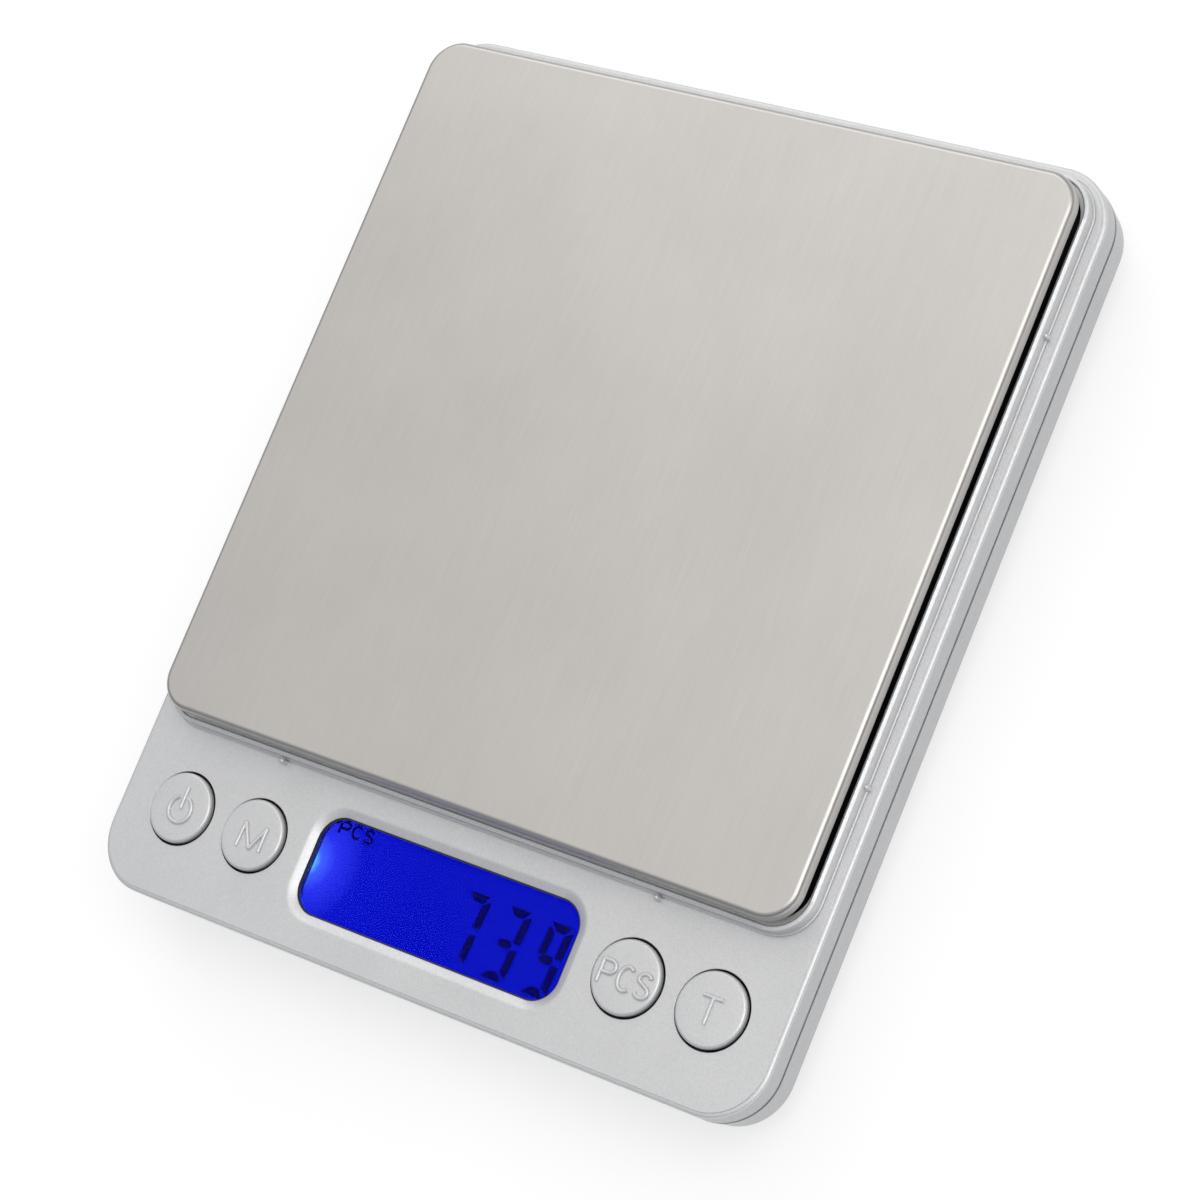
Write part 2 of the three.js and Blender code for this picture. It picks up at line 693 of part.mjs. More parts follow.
// Everything that hangs on the load cell's free end.
const platform = new THREE.Group();
platform.position.set(0, PAN.centreY, 0);
platform.add(piece("weighing_pan", weighingPan(), BRUSHED_STEEL));
platform.add(piece("pan_carrier", panCarrier(), GREY_ABS));
for (const [where, side] of [["left", -1], ["right", 1]]) {
  const tapeShape = { halfX: 6, halfY: 38, corner: 0.5 };
  const strip = plate(tapeShape, CARRIER.topZ, PAN.topZ - PAN_SHEET.thick);
  platform.add(piece(`pan_tape_${where}`, strip, TAPE, [side * 38, 0, 0]));
}
const screwMiddle = (CELL_SCREW.x[0] + CELL_SCREW.x[1]) / 2;
const freeSpacer = spacer(CELL.high, CARRIER.bossZ);
platform.add(piece("free_end_spacer", freeSpacer, ALUMINIUM, [screwMiddle, 0, 0]));
CELL_SCREW.x.forEach((x, i) => {
  const fixing = screw(CELL_SCREW.head, 1.8, CELL_SCREW.shank, 7.6).rotate([180, 0, 0]);
  const place = [x, 0, CARRIER.topZ - 0.8];
  platform.add(piece(`platform_screw_${i + 1}`, fixing, BRIGHT_STEEL, place));
});
scale.add(platform);

const sensing = new THREE.Group();
sensing.position.set(0, PAN.centreY, 0);
sensing.add(piece("load_cell", loadCell(), ALUMINIUM));
const sealTop = gaugeSeal(CELL.high, CELL.high + 0.5);
const sealUnder = gaugeSeal(CELL.low - 0.7, CELL.low);
sensing.add(piece("gauge_seal_top", sealTop, SILICONE));
sensing.add(piece("gauge_seal_under", sealUnder, SILICONE));
const fixedSpacer = spacer(FIXED_BOSS.topZ, CELL.low);
sensing.add(piece("fixed_end_spacer", fixedSpacer, ALUMINIUM, [-screwMiddle, 0, 0]));
CELL_SCREW.x.forEach((x, i) => {
  const fixing = screw(CELL_SCREW.head, 0.9, CELL_SCREW.shank, 5.6);
  const place = [-x, 0, BASE.bottomZ + 0.2];
  sensing.add(piece(`load_cell_screw_${i + 1}`, fixing, DARK_STEEL, place));
});
scale.add(sensing);

for (const [name, x] of KEY_PLACES) {
  const stalk = rod(SWITCH.plunger, SWITCH.plungerZ, KEY_FLANGE.low, 0, 0, 16);
  scale.add(piece(`${name}_key`, keyCap(), SILVER_PAINT, [x, KEYS.y, 0]));
  scale.add(piece(`${name}_switch`, switchBody(), BLACK_ABS, [x, KEYS.y, 0]));
  scale.add(piece(`${name}_plunger`, stalk, GREY_ABS, [x, KEYS.y, 0]));
}

const glassShape = { halfX: GLASS.halfX, halfY: GLASS.halfY, corner: 0.4, y: WINDOW.y };
const guideShape = {
  halfX: BACKLIGHT.halfX,
  halfY: BACKLIGHT.halfY,
  corner: 0.6,
  y: BACKLIGHT.y,
};
const ledX = -BACKLIGHT.halfX - 1;
const stripY = WINDOW.y - GLASS.halfY + 0.9;
scale.add(piece("display_lens", displayLens(), CLEAR_ACRYLIC));
scale.add(piece("display_glass", plate(glassShape, GLASS.low, GLASS.high), DISPLAY_BLUE));
scale.add(piece("backlight_guide", plate(guideShape, BACKLIGHT.low, BACKLIGHT.high), LIGHT_GUIDE));
scale.add(piece(
  "backlight_led",
  box([ledX - 0.7, ledX + 0.7], [WINDOW.y - 1.6, WINDOW.y + 1.6], [BOARD.high, 8.6]),
  LED_WHITE,
));
scale.add(piece(
  "display_connector_strip",
  box([-21, 21], [stripY - 0.8, stripY + 0.1], [BOARD.high, GLASS.low]),
  SILICONE,
));
scale.add(piece("circuit_board", mainBoard(), BOARD_GREEN));
const dome = turned([[0, -1.1], [3.6, -1.1], [4.6, -0.5], [5, 0], [0, 0]]);
scale.add(piece("processor_dome", dome, EPOXY, [8, -51.5, BOARD.low]));
const converter = box([-2.5, 2.5], [-3, 3], [-1.4, 0]);
scale.add(piece("converter_chip", converter, BLACK_ABS, [-12, -51.5, BOARD.low]));
for (const [where, side] of [["left", -1], ["right", 1]]) {
  const fixing = screw(1.5, 1.1, BOARD_BOSS.pilot, 4.6);
  const place = [side * BOARD_BOSS.x, BOARD_BOSS.y, BOARD.low - 1.1];
  scale.add(piece(`board_screw_${where}`, fixing, DARK_STEEL, place));
}

// Two cells in series: the front one points right, the rear one points left.
const power = new THREE.Group();
power.position.set(0, POCKET.y, 0);
const plateX = POCKET.halfX - 0.2;
const frontCellX = plateX - 0.3 - AAA.length / 2;
power.add(piece("battery_front", dryCell(), CELL_JACKET, [frontCellX, -AAA.spacing / 2, AAA.z]));
const turnedCell = dryCell().rotate([0, 0, 180]);
power.add(piece("battery_rear", turnedCell, CELL_JACKET, [-frontCellX, AAA.spacing / 2, AAA.z]));
power.add(piece("contact_bridge", contactPlate(9.6), NICKEL, [-plateX, 0, 0]));
power.add(piece("contact_positive", contactPlate(4), NICKEL, [plateX, -AAA.spacing / 2, 0]));
power.add(piece("contact_negative", contactPlate(4), NICKEL, [plateX, AAA.spacing / 2, 0]));
const springEnd = plateX - 0.25 - 0.5;
const springPlaces = [
  ["spring_bridge", contactSpring().rotate([0, 0, 180]), [-springEnd + 3.9, -AAA.spacing / 2, AAA.z]],
  ["spring_negative", contactSpring(), [springEnd - 3.9, AAA.spacing / 2, AAA.z]],
];
for (const [name, made, place] of springPlaces) power.add(piece(name, made, NICKEL, place));
scale.add(power);

// Four thin leads run from the load cell's fixed end along the floor to the board, and two
// from the battery contacts.
const LEADS = [
  ["red", 0xb01d1d],
  ["black", 0x151515],
  ["green", 0x1f7a3a],
  ["white", 0xe6e6e2],
];
LEADS.forEach(([colour, rgb], i) => {
  const x = -34.5 - 1.3 * i;
  const leaves = PAN.centreY - 3 + 2 * i;
  const route = [
    [-CELL.halfX - 0.6, leaves, 8],
    [x + 1, leaves - 1, 6.5],
    [x, leaves - 8, 4],
    [x, -18, 3.7],
    [x + 6, -34, 3.6],
    [x + 8, -44, 3.7],
    [x + 8, -46.5, 4.4],
  ];
  scale.add(piece(`cell_lead_${colour}`, wire(route), material(rgb, 0.5, 0)));
});
for (const [colour, rgb, y, x] of [
  ["red", 0xb01d1d, POCKET.y - AAA.spacing / 2 - 2, 31.5],
  ["black", 0x151515, POCKET.y + AAA.spacing / 2, 33.5],
]) {
  const route = [
    [POCKET.halfX + POCKET.wall + 0.6, y, 9],
    [x - 1, y - 1, 7.5],
    [x, y - 8, 4.4],
    [x, -14, 3.7],
    [x - 4, -36, 3.6],
    [x - 4, -46.5, 4.4],
  ];
  scale.add(piece(`battery_lead_${colour}`, wire(route), material(rgb, 0.5, 0)));
}

export default scale;
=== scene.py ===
"""The looks of a digital gram scale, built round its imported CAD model.

Shapes are made in millimetres in the CAD frame: +Z up, the keys facing -Y, the origin on the
table under the middle of the case. settle() turns a finished shape into metres.
"""
import math

import bpy
from mathutils import Matrix, Vector


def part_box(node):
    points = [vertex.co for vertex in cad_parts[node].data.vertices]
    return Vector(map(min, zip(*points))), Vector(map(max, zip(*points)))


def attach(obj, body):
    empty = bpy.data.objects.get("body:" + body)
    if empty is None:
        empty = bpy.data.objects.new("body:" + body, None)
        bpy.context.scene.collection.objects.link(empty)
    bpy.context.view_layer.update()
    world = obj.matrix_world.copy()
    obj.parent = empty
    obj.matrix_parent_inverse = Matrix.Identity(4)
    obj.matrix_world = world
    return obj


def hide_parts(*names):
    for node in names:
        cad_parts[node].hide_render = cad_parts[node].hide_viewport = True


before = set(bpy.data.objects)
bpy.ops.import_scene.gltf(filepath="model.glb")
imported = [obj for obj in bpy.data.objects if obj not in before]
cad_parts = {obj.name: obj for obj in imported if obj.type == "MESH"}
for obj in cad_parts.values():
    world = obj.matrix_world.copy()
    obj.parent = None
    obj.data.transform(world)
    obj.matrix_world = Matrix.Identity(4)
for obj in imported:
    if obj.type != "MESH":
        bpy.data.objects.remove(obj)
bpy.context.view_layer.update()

# ---- Driving dimensions, in millimetres

MM = 0.001
# How finely corners and turned shapes are divided.
CORNER_STEPS = 20
ROUND = 96
SMALL_ROUND = 48

CASE = {"half_x": 53.2, "half_y": 63.5, "corner": 8}
WALL = 1.6
PANEL_Z = 13.9
RIM = {"round": 0.5, "height": 0.3, "width": 0.57, "step": 0.2}
PARTING = {"z": 10.15, "gap": 0.5}
BOTTOM_Z = 1.2
SHOULDER = {"z": 5.4, "inset": 0.45, "slope": 5.2}

PAN = {"half_x": 50.5, "half_y": 50.0, "corner": 4.7}
PAN_Y = 11.05
PAN_TOP = 19.0
PAN_SHEET = 0.5
PAN_SKIRT = 1.8
PAN_EDGE = 0.8
PAN_DIP = 0.4

WELL = {"half_x": 50.65, "half_y": 50.15, "corner": 4.85}
WELL_FLOOR = 12.6
WELL_UNDER = 11.4
WELL_LEDGE = {"z": 15.7, "side": 0.14, "front": 0.9}
LIP = {"width": 0.7, "crest": 16.05, "round": 0.28, "fall": 0.16}
LIP_FOOT = {"width": 0.2, "z": 14.1}
GROOVE = {"width": 0.18, "depth": 0.13}
CATCH = {"along": 30.2, "out": 51.45, "radius": 0.42, "top": 15.1}
STOP = {"out": 41, "radius": 2.5, "top": 15.9}
POST_HOLE = {"half_x": 8.6, "half_y": 7.6, "corner": 1.5}
PANEL_UNDER = 12.4

KEY_Y = -50.94
KEYS = {"power": -42.83, "mode": -30.24, "count": 30.24, "tare": 42.83}
KEY_HOLE = 5.15
KEY_CAP = 4.85
KEY_TOP = 14.65
KEY_DOME = 0.04
KEY_FLANGE = {"radius": 5.7, "low": 11.3, "high": 12.1}

WINDOW = {"half_x": 21.0, "half_y": 6.82, "corner": 3.7}
WINDOW_Y = -51.18
BEVEL = {"width": 1.15, "low": 13.4}
LENS = {"low": 11.6, "step": 12.2, "top": 13.1, "fit": 0.22, "flange": 2.0}
GLASS = {"half_x": 23.5, "half_y": 8.9, "corner": 0.4}
GLASS_Z = (9.6, 11.4)

POCKET_Y = 42.9
POCKET = {"half_x": 25.2, "half_y": 11.3, "wall": 1.2, "ceiling": 13.4, "top": 14.2}
HUMP = {"play": 0.5, "wall": 1, "top": 15.4, "edge": 0.5}
DOOR = {"half_x": 27.2, "half_y": 13.1, "corner": 1.5}
DOOR_GAP = 0.3
DOOR_TOP = 2.5
TOE = {"x": 16, "half": 3, "reach": 2.1, "low": 0.48, "high": 1.38}
TOE_SLOT = {"half": 3.5, "front": 53.2, "reach": 2.3, "low": 2.8, "high": 5.2}
SCOOP = 6.6

CELL = {"radius": 5.25, "length": 44.5, "nub": 1.9, "nub_length": 0.9, "z": 7.95, "apart": 11.3}
FOOT = {"x": 39, "y": 51, "radius": 5, "top": 2.0}
CASE_SCREW = {"x": 44, "y": 34, "bore": 2.9, "bore_top": 4.2}
CASE_BOSS = {"radius": 3, "low": 6.3, "pilot": 1.4}
CASE_SCREW_SIZE = {"head": 2.6, "head_height": 1.7, "shank": 1.3, "length": 6.4}
CELL_SCREW_X = (-19.5, -26)
CELL_SCREW_SIZE = {"head": 2.6, "head_height": 0.9, "shank": 1.25, "length": 5.6}

FIXED_BOSS = {"half_x": 8, "half_y": 7, "zs": (BOTTOM_Z + WALL - 0.2, 3.4)}
FREE_END_X = 22.75
SPACER = {"half_x": 7, "half_y": 6, "bore": 1.4, "play": 0.05}

CORNERS = {
    "front_left": (-1, -1),
    "front_right": (1, -1),
    "rear_left": (-1, 1),
    "rear_right": (1, 1),
}

# The camera looks from the right and above at the middle of the case, and is rolled.
CAMERA = {
    "aim": (5.6, -6.9, 13.9),
    "distance": 452.6,
    "azimuth": 75.06,
    "elevation": 57.17,
    "roll": 54.94,
    "lens": 105.55,
}

# ---- Shapes


def make(name, points, faces):
    """A mesh object, still in millimetres."""
    mesh = bpy.data.meshes.new(name)
    mesh.from_pydata(points, [], faces)
    mesh.update()
    obj = bpy.data.objects.new(name, mesh)
    bpy.context.scene.collection.objects.link(obj)
    return obj


def loft(name, rings):
    """A closed skin over rings of points, with a flat cap at each end."""
    count = len(rings[0])
    points = [point for ring in rings for point in ring]
    faces = []
    for r in range(len(rings) - 1):
        low, high = r * count, (r + 1) * count
        for i in range(count):
            j = (i + 1) % count
            faces.append((low + i, low + j, high + j, high + i))
    faces.append(tuple(reversed(range(count))))
    last = (len(rings) - 1) * count
    faces.append(tuple(range(last, last + count)))
    return make(name, points, faces)


def outline(half_x, half_y, corner, steps):
    """Points round a rectangle with round corners, counter-clockwise."""
    points = []
    for quarter, (sx, sy) in enumerate([(1, 1), (-1, 1), (-1, -1), (1, -1)]):
        for i in range(steps + 1):
            angle = math.radians(90 * (quarter + i / steps))
            x = sx * (half_x - corner) + corner * math.cos(angle)
            y = sy * (half_y - corner) + corner * math.sin(angle)
            points.append((x, y))
    return points


def swept(name, shape, profile, y=0.0, steps=CORNER_STEPS):
    """A solid whose side follows [inset, z] pairs, from the bottom up, round a rectangle."""
    rings = []
    for inset, z in profile:
        corner = max(shape["corner"] - inset, 0.2)
        flat = outline(shape["half_x"] - inset, shape["half_y"] - inset, corner, steps)
        rings.append([(px, py + y, z) for px, py in flat])
    return loft(name, rings)


def grown(shape, by):
    """The same outline with its sides moved out."""
    return {
        "half_x": shape["half_x"] + by,
        "half_y": shape["half_y"] + by,
        "corner": shape["corner"] + by,
    }


def turned(name, profile, x=0.0, y=0.0, sides=ROUND):
    """A solid turned about an upright line from [radius, z] pairs, with no point on the line."""
    angles = [2 * math.pi * i / sides for i in range(sides)]
    rings = []
    for radius, z in profile:
        rings.append([(x + radius * math.cos(a), y + radius * math.sin(a), z) for a in angles])
    return loft(name, rings)


def block(name, xs, ys, zs):
    """A box between two corners."""
    points = [(x, y, z) for z in zs for x, y in [
        (xs[0], ys[0]), (xs[1], ys[0]), (xs[1], ys[1]), (xs[0], ys[1])]]
    return loft(name, [points[:4], points[4:]])


def slab(name, x, y, half_x, half_y, zs):
    """A box about an upright line."""
    return block(name, (x - half_x, x + half_x), (y - half_y, y + half_y), zs)


def quarter_turn(start, end, steps, outward=False):
    """Points on a quarter circle between two points. It leaves start going up, or going out."""
    (a0, z0), (a1, z1) = start, end
    points = []
    for i in range(steps + 1):
        angle = math.radians(90 * i / steps)
        across, up = 1 - math.cos(angle), math.sin(angle)
        if outward:
            across, up = up, across
        points.append((a0 + (a1 - a0) * across, z0 + (z1 - z0) * up))
    return points


def combine(obj, operation, *tools):
    """The object after a boolean operation with each tool. The tools are used up."""
    for tool in tools:
        modifier = obj.modifiers.new(operation, "BOOLEAN")
        modifier.operation = operation
        modifier.object = tool
        modifier.solver = "MANIFOLD"
    graph = bpy.context.evaluated_depsgraph_get()
    mesh = bpy.data.meshes.new_from_object(obj.evaluated_get(graph))
    obj.modifiers.clear()
    obj.data = mesh
    for tool in tools:
        bpy.data.objects.remove(tool)
    return obj


def join(obj, *tools):
    return combine(obj, "UNION", *tools)


def cut(obj, *tools):
    return combine(obj, "DIFFERENCE", *tools)


def moved(obj, matrix):
    obj.data.transform(matrix)
    return obj


def settle(obj, material, body, replaces=(), sharp=40):
    """Finishes a piece: metres, material, shading, the body it rides on and what it replaces.

    Shading is smooth, but for edges where faces meet at more than sharp degrees.
    """
    moved(obj, Matrix.Scale(MM, 4))
    obj.data.materials.clear()
    obj.data.materials.append(material)
    obj.data.polygons.foreach_set("use_smooth", [True] * len(obj.data.polygons))
    obj.data.set_sharp_from_angle(angle=math.radians(sharp))
    weighted = obj.modifiers.new("weighted normals", "WEIGHTED_NORMAL")
    weighted.keep_sharp = True
    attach(obj, body)
    if replaces:
        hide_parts(*replaces)


def tube(name, path, radius, sides=16):
    """A round wire along points, with flat ends."""
    rings = []
    normal = None
    for i, point in enumerate(path):
        before, after = path[max(i - 1, 0)], path[min(i + 1, len(path) - 1)]
        along = (Vector(after) - Vector(before)).normalized()
        if normal is None:
            normal = along.orthogonal().normalized()
        normal = (normal - along * normal.dot(along)).normalized()
        across = along.cross(normal)
        ring = []
        for k in range(sides):
            angle = 2 * math.pi * k / sides
            offset = normal * math.cos(angle) + across * math.sin(angle)
            ring.append(tuple(Vector(point) + offset * radius))
        rings.append(ring)
    return loft(name, rings)


def filleted(corners, radius):
    """A path through corners, with each inner one rounded off."""
    steps = 5
    path = [Vector(corners[0])]
    for before, corner, after in zip(corners, corners[1:], corners[2:]):
        corner = Vector(corner)
        start = corner + (Vector(before) - corner).normalized() * radius
        end = corner + (Vector(after) - corner).normalized() * radius
        for i in range(steps + 1):
            t = i / steps
            path.append(start * (1 - t) ** 2 + corner * 2 * t * (1 - t) + end * t ** 2)
    path.append(Vector(corners[-1]))
    return path


def arc(x, y, half_x, half_y, start, end, steps=24):
    """Points round part of an ellipse, from one angle to another, in degrees."""
    points = []
    for i in range(steps + 1):
        angle = math.radians(start + (end - start) * i / steps)
        points.append((x + half_x * math.cos(angle), y + half_y * math.sin(angle)))
    return points


# Strokes of plain letters, each in a box one wide and one high.
LETTERS = {
    "M": [[(0, 0), (0.05, 1), (0.56, 0.05), (1, 1), (1, 0.05)]],
    "T": [[(0, 1), (1, 1)], [(0.5, 1), (0.5, 0)]],
    "P": [[(0, 0), (0, 1), *arc(0.55, 0.73, 0.45, 0.27, 90, -90), (0, 0.46)]],
    "C": [arc(0.55, 0.5, 0.5, 0.5, 50, 310)],
    "S": [[
        *arc(0.5, 0.75, 0.42, 0.25, 25, 200, 12),
        *arc(0.5, 0.25, 0.45, 0.25, 75, -155, 14),
    ]],
}


def stroke_letter(name, letter, place, size, radius, squash=1.0):
    """A letter drawn in round strokes, which squash makes flatter. Their middle is at place."""
    x, y, z = place
    width, height = size
    made = []
    for stroke in LETTERS[letter]:
        path = [(x + width * u, y + height * v, 0) for u, v in stroke]
        if letter in "MP":
            path = filleted(path, 0.12)
        made.append(tube(name, path, radius, 12))
    letter_mesh = join(made[0], *made[1:]) if made[1:] else made[0]
    moved(letter_mesh, Matrix.Diagonal((1, 1, squash, 1)))
    return moved(letter_mesh, Matrix.Translation((0, 0, z)))


# ---- Materials


def colour_ramp(nodes, stops):
    """A ramp node with its stops: [(place, (r, g, b)), ...]."""
    node = nodes.new("ShaderNodeValToRGB")
    elements = node.color_ramp.elements
    while len(elements) < len(stops):
        elements.new(0.5)
    for element, (place, colour) in zip(elements, stops):
        element.position = place
        element.color = (*colour, 1)
    return node


class Finish:
    """A material made of nodes, with the handful of steps that most of them share."""

    def __init__(self, name, colour, roughness, metallic=0.0):
        self.material = bpy.data.materials.new(name)
        self.material.use_nodes = True
        self.nodes = self.material.node_tree.nodes
        self.links = self.material.node_tree.links
        self.shader = self.nodes["Principled BSDF"]
        self.colour = colour
        self.set("Base Color", (*colour, 1))
        self.set("Roughness", roughness)
        self.set("Metallic", metallic)
        self.place = self.nodes.new("ShaderNodeTexCoord").outputs["Object"]

    def set(self, socket, value):
        self.shader.inputs[socket].default_value = value

    def stretch(self, x, y, z):
        """Positions on the object, stretched, so that a texture over them has a grain."""
        node = self.nodes.new("ShaderNodeMapping")
        node.inputs["Scale"].default_value = (x, y, z)
        self.links.new(self.place, node.inputs["Vector"])
        return node.outputs["Vector"]

    def texture(self, kind, size, at=None):
        """A texture node whose features are about size millimetres across."""
        node = self.nodes.new(f"ShaderNodeTex{kind}")
        node.inputs["Scale"].default_value = 1 / (size * MM)
        self.links.new(at or self.place, node.inputs["Vector"])
        return node

    def noise(self, size, detail=2.0, rough=0.5, at=None):
        """Soft noise, from 0 to 1."""
        node = self.texture("Noise", size, at)
        node.inputs["Detail"].default_value = detail
        node.inputs["Roughness"].default_value = rough
        return node.outputs["Fac"]

    def cells(self, size):
        """A different value in each small cell."""
        apart = self.nodes.new("ShaderNodeSeparateColor")
        self.links.new(self.texture("Voronoi", size).outputs["Color"], apart.inputs["Color"])
        return apart.outputs["Red"]

    def steps(self, value, stops, blend="LINEAR"):
        """Colours along a value."""
        node = colour_ramp(self.nodes, stops)
        node.color_ramp.interpolation = blend
        self.links.new(value, node.inputs["Fac"])
        return node.outputs["Color"]

    def range(self, value, low, high, start=0.3, end=0.7):
        """Low where the value is at start, high at end. Noise is mostly from 0.3 to 0.7."""
        node = self.nodes.new("ShaderNodeMapRange")
        node.inputs["From Min"].default_value = start
        node.inputs["From Max"].default_value = end
        node.inputs["To Min"].default_value = low
        node.inputs["To Max"].default_value = high
        self.links.new(value, node.inputs["Value"])
        return node.outputs["Result"]

    def math(self, operation, a, b=None, c=None):
        """A sum on up to three values, each a number or a socket."""
        node = self.nodes.new("ShaderNodeMath")
        node.operation = operation
        for socket, value in zip(node.inputs, (a, b, c)):
            if value is None:
                continue
            if isinstance(value, (int, float)):
                socket.default_value = value
            else:
                self.links.new(value, socket)
        return node.outputs["Value"]

    def axes(self):
        """The X, Y and Z of a place on the object, in metres."""
        node = self.nodes.new("ShaderNodeSeparateXYZ")
        self.links.new(self.place, node.inputs["Vector"])
        return node.outputs

    def rising(self, low, start, end):
        """A number that climbs from low to 1 between two heights in millimetres."""
        return self.range(self.axes()["Z"], low, 1.0, start * MM, end * MM)

    def inside(self, boxes):
        """1 inside any of some boxes, each a middle and half sizes in millimetres; 0 outside."""
        axes = self.axes()
        covered = 0.0
        for middle, half in boxes:
            within = 1.0
            for axis, centre, reach in zip("XYZ", middle, half):
                near = self.math("COMPARE", axes[axis], centre * MM, reach * MM)
                within = self.math("MULTIPLY", near, within)
            covered = self.math("MAXIMUM", within, covered)
        return covered

    def shade(self, factor, colour=None):
        """The base colour, darker or lighter by a factor."""
        node = self.nodes.new("ShaderNodeMix")
        node.data_type = "RGBA"
        node.blend_type = "MULTIPLY"
        node.inputs["Factor"].default_value = 1
        first, second = [socket for socket in node.inputs if socket.type == "RGBA"]
        if colour is None:
            first.default_value = (*self.colour, 1)
        else:
            self.links.new(colour, first)
        self.links.new(factor, second)
        out = [socket for socket in node.outputs if socket.type == "RGBA"][0]
        self.links.new(out, self.shader.inputs["Base Color"])

    def roughen(self, value):
        self.links.new(value, self.shader.inputs["Roughness"])

    def glow(self, colour, strength):
        """Light of its own, the same all over."""
        self.set("Emission Color", (*colour, 1))
        self.set("Emission Strength", strength)

    def bump(self, height, depth):
        """Relief that stands depth millimetres high."""
        node = self.nodes.new("ShaderNodeBump")
        node.inputs["Distance"].default_value = depth * MM
        self.links.new(height, node.inputs["Height"])
        self.links.new(node.outputs["Normal"], self.shader.inputs["Normal"])


# Painted shade: the walls are darker than the face. The painted shade fades out just under this
# height.
SHADED_WALL_TOP = 13.35
WALL_SHADE_BLEND = 0.3
# Painted shade: inside these boxes, each a middle and half sizes, the colour turns near black and
# loses its metal.
# They are the well, in two that leave its round corners out, the window and the two pairs of key
# holes.
WELL_CORNER = 2.2
KEY_PAIR_X = (KEYS["count"] + KEYS["tare"]) / 2
RECESS_SHADE_BOXES = [
    ((0, PAN_Y, 13), (WELL["half_x"], WELL["half_y"] - WELL_CORNER, 2.1)),
    ((0, PAN_Y, 13), (WELL["half_x"] - WELL_CORNER, WELL["half_y"], 2.1)),
    ((0, WINDOW_Y, 12), (22, 7.8, 1.3)),
    ((-KEY_PAIR_X, KEY_Y, 12), (12.2, 5.9, 1.68)),
    ((KEY_PAIR_X, KEY_Y, 12), (12.2, 5.9, 1.68)),
]


def silver_paint():
    """Satin silver paint with fine flakes and a faint orange-peel, with painted shade on the walls
    and near black painted shade in the recesses.
    """
    metallic = 0.5
    f = Finish("silver_paint", (0.62, 0.622, 0.628), 0.38, metallic)
    flakes = f.cells(0.13)
    cloud = f.noise(9, 3)
    tone = f.math("ADD", f.range(flakes, 0.93, 1.05, 0, 1), f.range(cloud, -0.02, 0.02))
    # Painted shade, darker on the walls than on the face.
    tone = f.math("MULTIPLY", tone, f.rising(0.78, SHADED_WALL_TOP - WALL_SHADE_BLEND, SHADED_WALL_TOP))
    # Painted shade: near black and not metallic inside the recess boxes.
    unshaded = f.math("SUBTRACT", 1.0, f.inside(RECESS_SHADE_BOXES))
    f.shade(f.math("MULTIPLY", tone, f.range(unshaded, 0.02, 1.0, 0, 1)))
    f.links.new(f.math("MULTIPLY", unshaded, metallic), f.shader.inputs["Metallic"])
    f.roughen(f.range(f.cells(0.11), 0.33, 0.48, 0, 1))
    f.bump(f.noise(0.28, 3, 0.6), 0.010)
    return f.material


def brushed_steel():
    """Stainless sheet brushed front to back, with painted shade over its rolled edge and skirt,
    and a few specks.
    """
    f = Finish("brushed_steel", (0.585, 0.565, 0.54), 0.34, 1.0)
    grain = f.noise(0.12, 4, 0.6, f.stretch(1, 0.018, 1))
    broad = f.noise(1.6, 3, 0.6, f.stretch(1, 0.05, 1))
    cloud = f.noise(22, 4, 0.55)
    tone = f.math("ADD", f.range(grain, 0.965, 1.035), f.range(cloud, -0.03, 0.03))
    tone = f.math("ADD", tone, f.range(broad, -0.006, 0.006))
    specks_apart, speck_size = 24, 0.014
    specks = f.texture("Voronoi", specks_apart, f.stretch(1, 0.7, 1))
    speck = f.math("LESS_THAN", specks.outputs["Distance"], speck_size)
    tone = f.math("SUBTRACT", tone, f.math("MULTIPLY", speck, 0.10))
    shaded_fold = 0.06
    # Painted shade, darker over the rolled edge and the skirt below it.
    f.shade(f.math("MULTIPLY", tone, f.rising(0.8, PAN_TOP - shaded_fold, PAN_TOP)))
    smudge = f.noise(14, 5, 0.6)
    f.roughen(f.math("ADD", f.range(grain, 0.30, 0.38), f.range(smudge, -0.03, 0.04)))
    f.bump(grain, 0.002)
    return f.material


def machined_metal(name, colour, roughness, grain):
    """Bare metal with fine tool marks, drawn out along the axis whose grain is small."""
    f = Finish(name, colour, roughness, 1.0)
    marks = f.noise(0.1, 3, 0.6, f.stretch(*grain))
    f.shade(f.range(marks, 0.93, 1.05))
    f.roughen(f.range(f.noise(3, 3), roughness - 0.06, roughness + 0.08))
    f.bump(marks, 0.003)
    return f.material


def plastic(name, colour, roughness, relief=0.006):
    """Moulded plastic with a spark-eroded texture."""
    f = Finish(name, colour, roughness)
    f.shade(f.range(f.noise(6, 3), 0.93, 1.06))
    f.roughen(f.range(f.noise(1.2, 3), roughness - 0.07, roughness + 0.07))
    f.bump(f.noise(0.35, 3, 0.6), relief)
    return f.material


def rubber(name, colour):
    """Soft rubber: matt, slightly dusty."""
    f = Finish(name, colour, 0.85)
    f.set("Specular IOR Level", 0.3)
    dust = f.noise(1.5, 5, 0.65)
    f.shade(f.range(dust, 0.85, 1.18))
    f.roughen(f.range(dust, 0.75, 0.95))
    f.bump(f.noise(0.22, 2), 0.02)
    return f.material


def clear_acrylic():
    """A clear window. Its low index keeps the display under it sharp and in place."""
    f = Finish("clear_acrylic", (1, 1, 1), 0.03)
    f.set("Transmission Weight", 1.0)
    f.set("IOR", 1.1)
    f.roughen(f.range(f.noise(5, 3), 0.015, 0.05))
    return f.material


